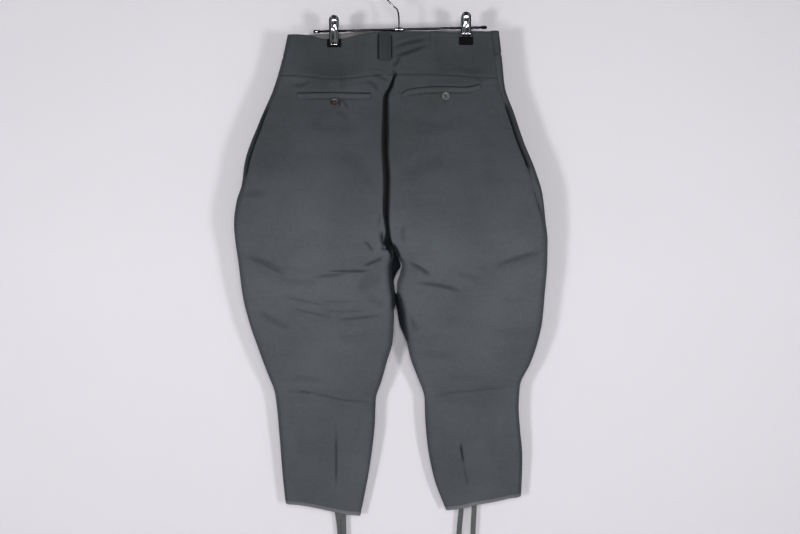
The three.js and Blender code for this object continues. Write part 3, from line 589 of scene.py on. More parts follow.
def pinch(x, drop):
    """How firmly the clips press the layers together: 1 inside a jaw, 0 well away from it."""
    left, right = CLIP_PINCH["places"]
    away = np.minimum(np.abs(x - left), np.abs(x - right))
    beside = smooth_step(CLIP_PINCH["flat"], CLIP_PINCH["spread"], away)
    below = smooth_step(CLIP_PINCH["firm"], CLIP_PINCH["gone"], drop)
    return (1 - beside) * (1 - below)


def broad_fold(x, drop):
    """Depth of the broad folds: bell curves of the distance to their lines, without fading."""
    depth = np.zeros(np.broadcast(x, drop).shape)
    here = np.stack(np.broadcast_arrays(x, drop), -1)[..., None, :]
    for points, deep, wide in BROAD_FOLDS:
        away, _, _ = from_line(here, np.array(points, float))
        distance = np.linalg.norm(away, axis=-1).min(-1)
        depth += deep * np.exp(-((distance / wide) ** 2))
    return depth


def layer_y(front, x, drop, across):
    """y of one layer away from its edges: a crown across the width, flattened by the clips."""
    crown = 0.75 + 0.25 * (1 - (2 * across - 1) ** 2)
    press = pinch(x, drop)
    forward = mix(front_depth(drop) * crown, FRONT_PINCH_Y, press)
    backward = mix(broad_fold(x, drop) - back_depth(drop) * crown, BACK_PINCH_Y, press)
    return np.where(front, forward, backward)


def inner_edge_x(half, front, drop):
    """x of the centre seam above the crotch, and of the inseam below it."""
    parting = 2.8 * smooth_step(485, CROTCH_DROP, drop)
    seam = np.where(front, front_seam_x(drop), back_seam_x(drop)) + half["side"] * parting
    return np.where(drop >= CROTCH_DROP, half["inseam"](drop), seam)


def inner_edge_y(front, drop):
    seam = np.where(front, front_seam_y(drop), back_seam_y(drop))
    return np.where(drop >= CROTCH_DROP, inseam_y(drop), seam)


def inner_round(half, front, drop):
    above = np.where(front, mix(28, 11, smooth_step(400, CROTCH_DROP, drop)), half["valley"](drop))
    return np.where(drop >= CROTCH_DROP, inseam_round(drop), above)


def surface(half, way, drop):
    """The cloth's middle surface. "way" runs round one half's section: 0 is the centre-back seam
    or the inseam, 1 to 2 the flat of the back, 3 the silhouette, 4 to 5 the flat of the front and
    6 the centre-front seam or the inseam. Both edges are quarter rounds from the layer's y to the
    edge's own y; above the crotch the inner one is a valley with a cosine slope."""
    front = way > 3
    t = np.where(front, 6 - way, way)
    side = half["side"]
    inner = inner_edge_x(half, front, drop)
    width = np.abs(half["outer"](drop) - inner)
    round_in = inner_round(half, front, drop)
    round_out = edge_round(drop)
    turned = smooth_step(490, CROTCH_DROP, drop)
    angle = t * PI / 2
    foot, brim = half["pit"]
    steep = np.clip((t - foot) / (brim - foot), 0, 1)
    valley = np.where(front, (1 - np.cos(2 * angle)) / 2,
                      mix(steep, smooth_step(foot, brim, t), 0.4))
    near = t < 1
    from_near = round_in * mix(t, 1 - np.cos(angle), turned)
    from_flat = round_in + (width - round_in - round_out) * (t - 1)
    angle_out = (t - 2) * PI / 2
    from_far = width - round_out * (1 - np.sin(angle_out))
    distance = np.where(near, from_near, np.where(t <= 2, from_flat, from_far))
    share = np.where(near, mix(valley, np.sin(angle), turned),
                     np.where(t <= 2, 1, np.cos(angle_out)))
    edge_y = np.where(near, inner_edge_y(front, drop), silhouette_y(drop))
    x = inner + side * distance
    y = mix(edge_y, layer_y(front, x, drop, distance / width), share)
    hang = np.where(front & near, half["fold"](drop) * np.sin(t * PI) ** 2, 0)
    return np.stack([x - side * hang, y, -drop * np.ones_like(x)], -1), share


def side_seam(half, drop):
    """The way of the side seam, where the back is sewn to the front."""
    inset = half["inset"](drop)
    round_out = edge_round(drop)
    width = np.abs(half["outer"](drop) - inner_edge_x(half, False, drop))
    round_in = inner_round(half, False, drop)
    close = 2 + np.arcsin(np.clip(1 - inset / round_out, 0, 1)) * 2 / PI
    far = 1 + (width - inset - round_in) / (width - round_in - round_out)
    return np.where(inset <= round_out, close, far)


def row_drops(half, front, way, level):
    """Drops of the grid. A level counts the cut lines, which are the waist, the seam below the
    yoke or the waistband, the seat, the calf and the hem, and rows between two share the room."""
    across = across_of_way(np.where(way > 3, 6 - way, way))
    waist = half["front_waist"](across) if front else half["waist"](across)
    seam = waist + BAND_HEIGHT if front else half["yoke"](across)
    level_line = np.ones_like(across)
    lines = np.stack([waist, seam, SEAT_DROP * level_line, CALF_DROP * level_line,
                      half["hem"](across)])
    below = np.clip(np.floor(level), 0, 3).astype(int)
    row = np.arange(len(level))
    return mix(lines[below, row], lines[below + 1, row], (level - below)[:, None])


def seam_drops(half, front, level):
    """Drops of the rows where they meet the side seam."""
    way = np.full((len(level), 1), SEAM_WAY)
    return row_drops(half, front, way, level)[:, 0]


def level_at_seam(half, front, drop):
    """The level of the row that meets the side seam at a drop."""
    at = seam_drops(half, front, np.arange(5.0))
    return np.interp(drop, at, np.arange(5.0))


HEM_LEVEL = 4 - BINDING_HEIGHT / (990 - CALF_DROP)


def spread(*stretches):
    """Positions in stretches of (start, end, step), with no position twice."""
    parts = []
    for start, end, step in stretches:
        count = max(1, int(round(abs(end - start) / step)))
        parts.append(np.linspace(start, end, count, endpoint=False))
    return np.concatenate(parts + [[stretches[-1][1]]])


# Rows of a leg in drops, closest together at the pockets, the crotch and the knee.
LEG_ROWS = spread((186, 198, 3), (198, 226, 0.75), (226, 244, 1.5), (244, 470, 3.2),
                  (470, 560, 2), (560, 762, 2.9), (762, 792, 2), (792, 984, 3))


def back_ways(half, level, flat_count=92):
    """Columns of the back for each row, from the centre seam to the side seam."""
    seam = side_seam(half, seam_drops(half, False, level))[:, None]
    flat_end = np.minimum(seam - 0.1, 2)
    valley = np.linspace(0, 1, 17)[:-1] ** 1.5
    flat = np.linspace(0, 1, flat_count)
    flat = mix(flat, flat * flat, 0.35)
    edge = np.linspace(0, 1, 9)[1:]
    return np.concatenate([
        np.broadcast_to(valley, (len(level), len(valley))),
        1 + (flat_end - 1) * flat,
        mix(flat_end, seam, edge),
    ], axis=1)


def front_ways(half, level, flat_count=64):
    """Columns of the front for each row, from the side seam round the silhouette to the centre."""
    seam = side_seam(half, seam_drops(half, True, level))[:, None]
    start = np.linspace(0, 1, 7)[:-1]
    edge = np.linspace(3, 4, 11)[:-1]
    flat = np.linspace(4, 5, flat_count)[:-1]
    inner = np.linspace(5, 6, 13)
    rest = np.concatenate([edge, flat, inner])
    return np.concatenate([mix(seam, 3, start), np.broadcast_to(rest, (len(level), len(rest)))], 1)


def seam_dips(points, sides, depth=0.8, width=2.4):
    """Outward height near the named sides of a grid (top, bottom, first, last), where cloth is
    pulled down into a seam: a bell curve of the distance from the side, then a faint swell that
    the turned-in allowance gives."""
    across, down = lengths_along(points, 1), lengths_along(points, 0)
    distances = {"first": across, "last": across[:, -1:] - across, "top": down,
                 "bottom": down[-1:] - down}
    height = np.zeros(points.shape[:2])
    for side in sides:
        distance = distances[side]
        height -= depth * np.exp(-((distance / width) ** 2))
        height += 0.22 * depth * np.exp(-(((distance - 6.5) / 3.6) ** 2))
    return height


def part_seams(points, gap=SEAM_GAP / 2):
    """Stops the four sides of a grid half a seam gap short."""
    points = points.copy()
    points[0] += unit(points[1] - points[0]) * gap
    points[-1] += unit(points[-2] - points[-1]) * gap
    points[:, 0] += unit(points[:, 1] - points[:, 0]) * gap
    points[:, -1] += unit(points[:, -2] - points[:, -1]) * gap
    return points


def ordered(half, grid):
    """Columns run so that rows crossed with columns point out of the cloth."""
    return grid[:, ::-1] if half["side"] > 0 else grid


def relief(front, x, drop, share):
    """Outward height of creases and drape, and the shade painted into the creases. They fade into the
    edges with the square of the layer's share, so that two pieces meet, and are held flat in the
    clips."""
    creases = FRONT_CREASES if front else BACK_CREASES
    still = share ** 2 * (1 - pinch(x, drop))
    height, hollow = crease_depths(creases, x, drop)
    return (height + drape(x, drop, 2.1 if front else 0.7)) * still, hollow * still


# Painted shade in the cleft beside the centre-back seam, against drop: how much of the dark painted
# shade colour it gets.
cleft_painted_shade = curve([[172, 0], [188, 1], [214, 1], [234, 0.86], [300, 0.8], [400, 0.72], [440, 0.92],
                    [470, 1], [520, 1]])


def panel_points(half, front, level, way):
    """A cut panel's middle surface with its creases, each point's out direction, and its painted
    shade: that of creases, of the pocket mouths and the belt loop's sides on the back, of the cleft
    beside the centre-back seam, and of the folds behind the inseams on the side that is turned to the
    back."""
    drop = row_drops(half, front, way, level)
    points, share = surface(half, way, drop)
    normals = grid_normals(points) * -half["side"]
    x = points[..., 0]
    height, hollow = np.where(way <= 3, relief(False, x, drop, share), relief(True, x, drop, share))
    if front:
        # Painted shade on the front's fold that hangs behind the inseam.
        folded = smooth_step(1, 5, half["fold"](drop)) * smooth_step(5.35, 5.6, way)
        hollow = np.maximum(hollow, 0.95 * folded)
    else:
        # Painted shade in the sharp lines: the pocket mouths and beside the belt loop.
        sharp, sharp_painted_shade = crease_depths(SHARP_LINES, x, drop, 0.03)
        height = height + sharp
        hollow = np.maximum(hollow, np.minimum(1, 3.6 * sharp_painted_shade))
        # Painted shade in the cleft beside the centre-back seam, and on the fold behind the inseam.
        cleft = smooth_step(0.01, 0.1, 1 - share) * cleft_painted_shade(drop)
        cleft = cleft * (way < 1) * smooth_step(CROTCH_DROP + 12, CROTCH_DROP - 2, drop)
        folded = 0.9 * smooth_step(1, 5, half["fold"](drop)) * smooth_step(0.8, 0.3, way)
        hollow = np.maximum(hollow, np.maximum(cleft, folded))
    return points + normals * height[..., None], normals, hollow


# ------------------------------------------------------------------------------ node groups


def new_group(name, inputs, outputs):
    """An empty shader node group. inputs and outputs are (name, socket type, default)."""
    group = bpy.data.node_groups.new(name, "ShaderNodeTree")
    for label, kind, default in inputs:
        socket = group.interface.new_socket(label, in_out="INPUT", socket_type=kind)
        if default is not None:
            socket.default_value = default
    for label, kind in outputs:
        group.interface.new_socket(label, in_out="OUTPUT", socket_type=kind)
    return group


class Wiring:
    """Adds nodes to a tree and joins them, so that a material reads from top to bottom."""

    def __init__(self, tree):
        self.tree = tree

    def node(self, kind, settings=None, **inputs):
        made = self.tree.nodes.new(kind)
        for key, value in (settings or {}).items():
            setattr(made, key, value)
        for key, value in inputs.items():
            self.give(made.inputs[key.replace("_", " ")], value)
        return made

    def give(self, socket, value):
        if isinstance(value, bpy.types.NodeSocket):
            self.tree.links.new(value, socket)
        else:
            socket.default_value = value

    def maths(self, operation, *values):
        made = self.tree.nodes.new("ShaderNodeMath")
        made.operation = operation
        for socket, value in zip(made.inputs, values):
            self.give(socket, value)
        return made.outputs[0]

    def noise(self, where, scale, detail=2.0, roughness=0.5):
        made = self.node("ShaderNodeTexNoise", Vector=where, Scale=scale, Detail=detail,
                         Roughness=roughness)
        return made.outputs["Fac"]

    def ramp(self, value, low, high, to_low=0.0, to_high=1.0):
        made = self.tree.nodes.new("ShaderNodeMapRange")
        for key, number in (("From Min", low), ("From Max", high), ("To Min", to_low),
                            ("To Max", to_high)):
            made.inputs[key].default_value = number
        self.give(made.inputs["Value"], value)
        return made.outputs["Result"]

    def blend(self, share, first, second, kind="MIX"):
        made = self.tree.nodes.new("ShaderNodeMix")
        made.data_type = "RGBA"
        made.blend_type = kind
        sockets = {s.identifier: s for s in made.inputs}
        self.give(sockets["Factor_Float"], share)
        self.give(sockets["A_Color"], first)
        self.give(sockets["B_Color"], second)
        return {s.identifier: s for s in made.outputs}["Result_Color"]

    def group(self, group, **inputs):
        made = self.tree.nodes.new("ShaderNodeGroup")
        made.node_tree = group
        for key, value in inputs.items():
            self.give(made.inputs[key.replace("_", " ")], value)
        return made


def group_ends(group):
    """The two ends of a group: its input node's sockets and its output node's."""
    return group.nodes.new("NodeGroupInput").outputs, group.nodes.new("NodeGroupOutput").inputs


def twill_group():
    """Twill weave from a UV map in metres. The diagonal is a sine of u + v, the threads are a sine
    of u alone, and a noise loosens both. Puts out a height and a mask of the raised threads."""
    group = new_group("twill", [("Place", "NodeSocketVector", None),
                                ("Pitch", "NodeSocketFloat", 0.001),
                                ("Slant", "NodeSocketFloat", 1.0)],
                      [("Height", "NodeSocketFloat"), ("Threads", "NodeSocketFloat")])
    given, out = group_ends(group)
    w = Wiring(group)
    parts = w.node("ShaderNodeSeparateXYZ", Vector=given["Place"])
    u = w.maths("DIVIDE", parts.outputs["X"], given["Pitch"])
    v = w.maths("DIVIDE", parts.outputs["Y"], given["Pitch"])
    wander = w.maths("MULTIPLY", w.noise(given["Place"], 420.0), 0.9)
    slanted = w.maths("ADD", w.maths("ADD", u, w.maths("MULTIPLY", v, given["Slant"])), wander)
    ribs = w.maths("SINE", w.maths("MULTIPLY", slanted, 2 * PI))
    threads = w.maths("SINE", w.maths("MULTIPLY", w.maths("ADD", v, wander), 4 * PI))
    both = w.maths("ADD", w.maths("MULTIPLY", ribs, 0.6), w.maths("MULTIPLY", threads, 0.4))
    w.give(out["Height"], w.maths("MULTIPLY_ADD", both, 0.5, 0.5))
    w.give(out["Threads"], w.ramp(both, -0.4, 0.8))
    return group


def heather_group():
    """Uneven dye and nap from object coordinates: broad clouds, streaks that run across the cloth,
    and short pale flecks of fibre. Puts out a tone about 0.5, a fleck mask and a fuzz height."""
    group = new_group("heather", [("Place", "NodeSocketVector", None)],
                      [("Tone", "NodeSocketFloat"), ("Flecks", "NodeSocketFloat"),
                       ("Fuzz", "NodeSocketFloat")])
    given, out = group_ends(group)
    w = Wiring(group)
    clouds = w.noise(given["Place"], 9.0, 3.0, 0.55)
    flat = w.node("ShaderNodeMapping", Vector=given["Place"], Scale=(12.0, 12.0, 70.0))
    streaks = w.noise(flat.outputs[0], 1.0, 2.0, 0.6)
    mottle = w.noise(given["Place"], 160.0, 3.0, 0.6)
    tone = w.maths("ADD", w.maths("MULTIPLY", clouds, 0.55), w.maths("MULTIPLY", streaks, 0.15))
    w.give(out["Tone"], w.maths("ADD", tone, w.maths("MULTIPLY", mottle, 0.3)))
    w.give(out["Flecks"], w.ramp(w.noise(given["Place"], 900.0, 2.0, 0.7), 0.56, 0.74))
    w.give(out["Fuzz"], w.noise(given["Place"], 1300.0, 3.0, 0.75))
    return group


def rubbed_group():
    """Handling marks on hard pieces from object coordinates: fine scratches as a stretched noise
    and blotches of dulled polish. Puts out a scratch mask and a dull mask."""
    group = new_group("rubbed", [("Place", "NodeSocketVector", None)],
                      [("Scratches", "NodeSocketFloat"), ("Dull", "NodeSocketFloat")])
    given, out = group_ends(group)
    w = Wiring(group)
    drawn = w.node("ShaderNodeMapping", Vector=given["Place"], Rotation=(0.4, 0.9, 0.2),
                   Scale=(2600.0, 260.0, 2600.0))
    w.give(out["Scratches"], w.ramp(w.noise(drawn.outputs[0], 1.0, 2.0, 0.5), 0.62, 0.72))
    w.give(out["Dull"], w.ramp(w.noise(given["Place"], 240.0, 3.0, 0.6), 0.42, 0.7))
    return group


# ------------------------------------------------------------------------------ materials


def start_material(name):
    """A material with its Principled shader, its wiring and its object coordinates."""
    material = bpy.data.materials.new(name)
    material.use_nodes = True
    tree = material.node_tree
    shader = tree.nodes["Principled BSDF"]
    w = Wiring(tree)
    place = w.node("ShaderNodeTexCoord").outputs["Object"]
    return material, shader, w, place


def linear(colour):
    """Scene-linear red, green and blue of a colour given as 0 to 255."""
    share = np.array(colour, float) / 255
    return tuple(np.where(share <= 0.04045, share / 12.92, ((share + 0.055) / 1.055) ** 2.4)) + (1.0,)


def scaled(colour, by):
    return tuple(min(1.0, c * by) for c in colour[:3]) + (1.0,)


# The dark blue-grey that painted shade darkens the cloth towards.
PAINTED_SHADE_TONE = (0.04, 0.075, 0.11, 1)
# Heights in metres over which the thighs, and less the calves, are painted paler: partly wear, partly
# painted light.
LIT_AND_WORN_FROM_TO = (-0.34, -0.50)
LESS_LIT_AND_WORN_FROM_TO = (-0.58, -0.86)


def cloth_material(name, colour, pitch=0.0011, slant=1.0, contrast=0.17, nap=0.04, bump=0.2,
                   worn=None):
    """Woven cloth: twill on its own UV map under a fuzzy nap, dyed unevenly, and darkened by the
    painted shade of its second UV map. worn is how much paler the thighs are painted than the seat,
    partly as wear and partly as painted light where the middle of the legs catches the most light;
    the calves lie between them."""
    material, shader, w, place = start_material(name)
    uv = w.node("ShaderNodeUVMap", {"uv_map": "cloth"}).outputs["UV"]
    weave = w.group(bpy.data.node_groups["twill"], Place=uv, Pitch=pitch, Slant=slant)
    dye = w.group(bpy.data.node_groups["heather"], Place=place)
    dark, pale = scaled(colour, 1 - contrast), scaled(colour, 1 + contrast)
    tone = w.ramp(dye.outputs["Tone"], 0.36, 0.64)
    base = w.blend(tone, dark, pale)
    base = w.blend(w.maths("MULTIPLY", weave.outputs["Threads"], 0.3), base, scaled(colour, 1.45))
    base = w.blend(w.maths("MULTIPLY", dye.outputs["Flecks"], 0.32), base, scaled(colour, 2.1))
    # Paler thighs and calves: partly wear, partly painted light where the legs catch the most light.
    if worn:
        height = w.node("ShaderNodeSeparateXYZ", Vector=place).outputs["Z"]
        thigh = w.ramp(height, *LIT_AND_WORN_FROM_TO)
        calf = w.ramp(height, *LESS_LIT_AND_WORN_FROM_TO, 1.0, 0.55)
        share = w.maths("MULTIPLY", thigh, calf)
        paler = w.blend(1.0, base, (worn, worn, worn, 1), "MULTIPLY")
        base = w.blend(share, base, paler)
    # Painted shade: the colour is darkened towards the painted shade colour by the second UV map, in
    # creases, the cleft and other recesses.
    depths = w.node("ShaderNodeUVMap", {"uv_map": "hollow"}).outputs["UV"]
    hollow = w.node("ShaderNodeSeparateXYZ", Vector=depths).outputs["X"]
    painted_shade_colour = w.blend(1.0, base, PAINTED_SHADE_TONE, "MULTIPLY")
    base = w.blend(hollow, base, painted_shade_colour)
    w.give(shader.inputs["Base Color"], base)
    w.give(shader.inputs["Roughness"], w.ramp(dye.outputs["Fuzz"], 0.3, 0.7, 0.82, 0.97))
    shader.inputs["Specular IOR Level"].default_value = 0.1
    shader.inputs["Sheen Weight"].default_value = nap
    shader.inputs["Sheen Roughness"].default_value = 0.45
    height = w.maths("ADD", w.maths("MULTIPLY", weave.outputs["Height"], 0.55), dye.outputs["Fuzz"])
    lumps = w.node("ShaderNodeBump", Height=height, Strength=bump, Distance=0.0006)
    w.give(shader.inputs["Normal"], lumps.outputs["Normal"])
    return material


def horn_material(name, colour, streak):
    """Polished horn: drawn-out darker and paler streaks, a clear coat and rubbed patches."""
    material, shader, w, place = start_material(name)
    drawn = w.node("ShaderNodeMapping", Vector=place, Rotation=(0.3, 0.2, 0.9),
                   Scale=(500.0, 500.0, 90.0))
    grain = w.noise(drawn.outputs[0], 1.0, 4.0, 0.6)
    wear = w.group(bpy.data.node_groups["rubbed"], Place=place)
    base = w.blend(w.ramp(grain, 0.4, 0.62), colour, streak)
    w.give(shader.inputs["Base Color"], base)
    w.give(shader.inputs["Roughness"], w.ramp(wear.outputs["Dull"], 0.0, 1.0, 0.22, 0.42))
    shader.inputs["Coat Weight"].default_value = 0.4
    shader.inputs["Coat Roughness"].default_value = 0.12
    lumps = w.node("ShaderNodeBump", Height=grain, Strength=0.12, Distance=0.0003)
    w.give(shader.inputs["Normal"], lumps.outputs["Normal"])
    return material


def chrome_material(name, bright, dulled):
    """Plated steel with hair scratches and spots of dulled polish."""
    material, shader, w, place = start_material(name)
    wear = w.group(bpy.data.node_groups["rubbed"], Place=place)
    w.give(shader.inputs["Base Color"],
           w.blend(wear.outputs["Dull"], bright, dulled))
    shader.inputs["Metallic"].default_value = 1.0
    rough = w.maths("ADD", w.ramp(wear.outputs["Dull"], 0.0, 1.0, 0.07, 0.2),
                    w.maths("MULTIPLY", wear.outputs["Scratches"], 0.12))
    w.give(shader.inputs["Roughness"], rough)
    lumps = w.node("ShaderNodeBump", Height=wear.outputs["Scratches"], Strength=0.06,
                   Distance=0.0001)
    w.give(shader.inputs["Normal"], lumps.outputs["Normal"])
    return material


def rubber_material():
    """Matt black rubber with a fine moulded grain and a bloom of grey where it was rubbed."""
    material, shader, w, place = start_material("black rubber")
    wear = w.group(bpy.data.node_groups["rubbed"], Place=place)
    grain = w.noise(place, 2600.0, 2.0, 0.6)
    w.give(shader.inputs["Base Color"],
           w.blend(wear.outputs["Dull"], (0.002, 0.002, 0.0022, 1), (0.005, 0.005, 0.0055, 1)))
    w.give(shader.inputs["Roughness"], w.ramp(grain, 0.3, 0.7, 0.7, 0.9))
    shader.inputs["Specular IOR Level"].default_value = 0.08
    lumps = w.node("ShaderNodeBump", Height=grain, Strength=0.2, Distance=0.0002)
    w.give(shader.inputs["Normal"], lumps.outputs["Normal"])
    return material


def studio_material(name, colour, see_through_behind=False):
    """Plain pale paint, greyer towards its foot as painted shade where the lamps' light falls off.
    Where see_through_behind is set, its rear face is clear."""
    material, shader, w, place = start_material(name)
    height = w.node("ShaderNodeSeparateXYZ", Vector=place).outputs["Z"]
    # Painted shade: the paint darkens towards the foot, where less lamp light falls.
    foot = w.ramp(height, -0.55, -1.05)
    paint = w.blend(w.noise(place, 3.0, 2.0), scaled(colour, 0.985), scaled(colour, 1.015))
    paint = w.blend(foot, paint, scaled(colour, 0.94))
    w.give(shader.inputs["Base Color"], paint)
    shader.inputs["Roughness"].default_value = 0.9
    shader.inputs["Specular IOR Level"].default_value = 0.1
    if see_through_behind:
        facing = w.node("ShaderNodeNewGeometry").outputs["Backfacing"]
        clear = w.node("ShaderNodeBsdfTransparent").outputs[0]
        both = w.tree.nodes.new("ShaderNodeMixShader")
        w.give(both.inputs[0], facing)
        w.give(both.inputs[1], shader.outputs[0])
        w.give(both.inputs[2], clear)
        end = next(n for n in w.tree.nodes if n.type == "OUTPUT_MATERIAL")
        w.give(end.inputs["Surface"], both.outputs[0])
    return material


MATERIALS = {}


def make_materials(sizes):
    """Builds the node groups and every material once, from the colours in the settings."""
    if MATERIALS:
        return
    twill_group()
    heather_group()
    rubbed_group()
    wool = linear([255 * c for c in sizes.wool_colour])
    # The yoke, the waistband and the belt loop are darker, partly as painted shade where less light
    # falls on the top of the breeches and partly in their own tone.
    yoke = scaled(wool, sizes.yoke_painted_shade_and_tone)
    MATERIALS.update({
        # The panels are painted paler down the legs, partly as wear and partly as painted light.
        "wool": cloth_material("grey wool", wool, worn=1.55),
        "yoke": cloth_material("yoke wool", yoke),
        "facing": cloth_material("facing cotton", linear((100, 99, 95)), 0.0007, 0.0, 0.18, 0.15),
        # The pocket lips are painted paler than the panel: a painted highlight on the raised lip.
        "welt": cloth_material("welt wool", scaled(wool, 1.12)),
        "loop": cloth_material("belt loop wool", scaled(yoke, 0.7)),
        "binding": cloth_material("hem binding", linear((99, 100, 105)), 0.0008, 0.0, 0.2, 0.2),
        "tape": cloth_material("tie tape", linear((82, 84, 84)), 0.0016, 1.0, 0.2, 0.2, 0.3),
        "thread": cloth_material("sewing thread", scaled(wool, 0.8), 0.0004, 2.0, 0.2, 0.1),
        "pale thread": cloth_material("tack thread", scaled(wool, 1.25), 0.0004, 2.0, 0.2, 0.1),
        "brown horn": horn_material("brown horn", linear((26, 20, 22)), linear((70, 57, 58))),
        "grey horn": horn_material("grey horn", linear((66, 71, 69)), linear((112, 117, 112))),
        "chrome": chrome_material("chrome plate", (0.6, 0.61, 0.63, 1), (0.42, 0.43, 0.46, 1)),
        # The bar's chrome is painted near black: a painted dark reflection of the room.
        "chrome with painted dark reflection": chrome_material("chrome with painted dark reflection", (0.012, 0.012, 0.016, 1), (0.03, 0.03, 0.034, 1)),
        # The hook's steel is given a dark grey colour, with rubbed dull patches.
        "dark grey steel": chrome_material("dark grey steel", (0.2, 0.2, 0.22, 1), (0.34, 0.34, 0.36, 1)),
        "rubber": rubber_material(),
    })


# ------------------------------------------------------------------------------ cloth pieces


CLIP_PADS = ["clip_left_pad_back", "clip_right_pad_back"]
FRONT_PADS = ["clip_left_pad_front", "clip_right_pad_front"]


def leg_levels():
    """Levels that all four big panels share on the back, worked out from the left leg's rows."""
    levels = level_at_seam(HALVES["left"], False, LEG_ROWS)
    inside = (levels > 1.004) & (levels < HEM_LEVEL - 0.004)
    return np.concatenate([[1.0], levels[inside], [HEM_LEVEL]])


def open_slit(half, points, drop, first):
    """Parts a panel's edge in the side pocket's slit. The front (first) falls 9 mm inwards and runs 9
    mm under the back; the back's lip draws 4 mm back and stands a little proud. Also gives the
    painted shade in the pocket mouth, on the front's strip beside the slit."""
    top, end = half["slit"]
    inside = np.minimum(drop - top, end - drop)
    open_ = smooth_step(0, 22, inside)[..., None]
    run = np.linalg.norm(points - points[:, :1] if first else points - points[:, -1:], axis=-1)
    near = np.exp(-((run / (4.6 if first else 7.0)) ** 2))[..., None]
    inwards = -half["side"]
    away = np.array([inwards * 9.0, 9.0, 0.0]) if first else np.array([inwards * 4.0, -1.9, 0.0])
    hollow = smooth_step(6, 22, inside) * (run < 9) * smooth_step(9, 3, run) if first else 0 * run
    return points + away * open_ * near, hollow


def make_big_panel(name, half, front):
    """One big cut piece: its grid, creases, seam dips, the open slit, and a wall of cloth."""
    shared = leg_levels()
    if front:
        drops = np.concatenate([
            seam_drops(half, False, np.linspace(0.55, 0.98, 14)), seam_drops(half, False, shared)])
        levels = np.concatenate([[1.0], level_at_seam(half, True, drops)])
        way = front_ways(half, levels)
    else:
        levels = shared
        way = back_ways(half, levels)
    points, normals, hollow = panel_points(half, front, levels, way)
    points = part_seams(points)
    dips = seam_dips(points, ["top", "first" if front else "last"], 1.2)
    points = points + normals * dips[..., None]
    drop = -points[..., 2]
    # open_ is the painted shade in the slit's pocket mouth.
    points, open_ = open_slit(half, points, drop, first=front)
    keep_grid(name, points, half)
    return ordered(half, points), ordered(half, np.maximum(hollow, open_))


GRIDS = {}


def keep_grid(name, points, half, ring=False):
    """Remembers a piece's grid with its out directions, for what is sewn along its edges."""
    GRIDS[name] = (points, grid_normals(points, ring) * -half["side"])


# What the pieces were cut to in metres: a width and length, and for the big ones the area.
YOKE_WIDTHS = {"left": 0.185, "right": 0.203}
BAND_WIDTHS = {"left": 0.203, "right": 0.222}
FACING_WIDTHS = {"left": 0.168, "right": 0.170}
BINDING_CUT = (0.30, 0.0102)
PANEL_CUTS = {
    "back_left": ((0.30, 0.83), 0.196), "back_right": ((0.29, 0.82), 0.186),
    "front_left": ((0.32, 0.86), 0.221), "front_right": ((0.31, 0.85), 0.211),
}


def add_cloth(node, points, thickness, slot, look, flat, rests_on, area=None, **shape):
    """A cut piece in the place of its node: its wall of cloth. The size that it was cut to is not
    used.
    """
    piece = put_shell(node + "_cloth", points, thickness, slot=slot, material=MATERIALS[look],
                      stands_for=[node], **shape)


def add_panel(half_name, front):
    name = f"front_{half_name}" if front else f"back_{half_name}"
    points, hollow = make_big_panel(name, HALVES[half_name], front)
    flat, area = PANEL_CUTS[name]
    above = f"front_waistband_{half_name}" if front else f"back_yoke_{half_name}"
    add_cloth(name, points, CLOTH, "wool", "wool", flat, [above], area, hollow=hollow)


def add_yoke(half_name):
    half, name = HALVES[half_name], f"back_yoke_{half_name}"
    levels = np.linspace(0, 1, 34)
    points, normals, hollow = panel_points(half, False, levels, back_ways(half, levels))
    points = part_seams(points)
    points = points + normals * seam_dips(points, ["bottom", "last"], 1.2)[..., None]
    keep_grid(name, points, half)
    width = YOKE_WIDTHS[half_name]
    add_cloth(name, ordered(half, points), CLOTH, "yoke_wool", "yoke", (width, 0.088), CLIP_PADS,
              width * 0.082, hollow=ordered(half, hollow))


def add_waistband(half_name):
    half, name = HALVES[half_name], f"front_waistband_{half_name}"
    levels = np.linspace(0, 1, 17)
    points, normals, _ = panel_points(half, True, levels, front_ways(half, levels))
    points = part_seams(points)
    points = points + normals * seam_dips(points, ["bottom", "first"])[..., None]
    keep_grid(name, points, half)
    width = BAND_WIDTHS[half_name]
    add_cloth(name, ordered(half, points), CLOTH, "wool", "yoke", (width, 0.044), FRONT_PADS,
              width * 0.043)


def add_facing(half_name):
    """The facing inside the front waist: the front's own surface moved inwards."""
    half = HALVES[half_name]
    levels = np.linspace(0.02, FACING_HEIGHT / BAND_HEIGHT, 13)
    way = np.broadcast_to(np.linspace(4.17, 5.92, 80), (13, 80))
    points, normals, _ = panel_points(half, True, levels, way)
    points = points - normals * (CLOTH / 2 + SEAM_GAP * 1.3 + THIN_CLOTH / 2)
    add_cloth(f"waist_facing_{half_name}", ordered(half, points), THIN_CLOTH, "facing", "facing",
              (FACING_WIDTHS[half_name], 0.035), [f"front_waistband_{half_name}"])


def add_binding(half_name):
    """The binding round a hem: a ring of both layers' lowest rows, a little rounded."""
    half, name = HALVES[half_name], f"hem_binding_{half_name}"
    levels = np.linspace(HEM_LEVEL, 4, 5)
    ways = np.concatenate([back_ways(half, levels, 60), front_ways(half, levels, 50)[:, 1:-1]], 1)
    on_front = ways > 3
    drop = np.where(on_front, row_drops(half, True, ways, levels),
                    row_drops(half, False, ways, levels))
    points, share = surface(half, ways, drop)
    normals = grid_normals(points, ring=True) * -half["side"]
    x = points[..., 0]
    height = np.where(on_front, relief(True, x, drop, share)[0], relief(False, x, drop, share)[0])
    points = points + normals * height[..., None]
    points[0] += unit(points[1] - points[0]) * SEAM_GAP / 2
    keep_grid(name, points, half, ring=True)
    add_cloth(name, ordered(half, points), CLOTH, "binding", "binding", BINDING_CUT,
              [f"back_{half_name}", f"front_{half_name}"], 0.30 * 0.0064, ring=True)


# ------------------------------------------------------------------------------ on the panels


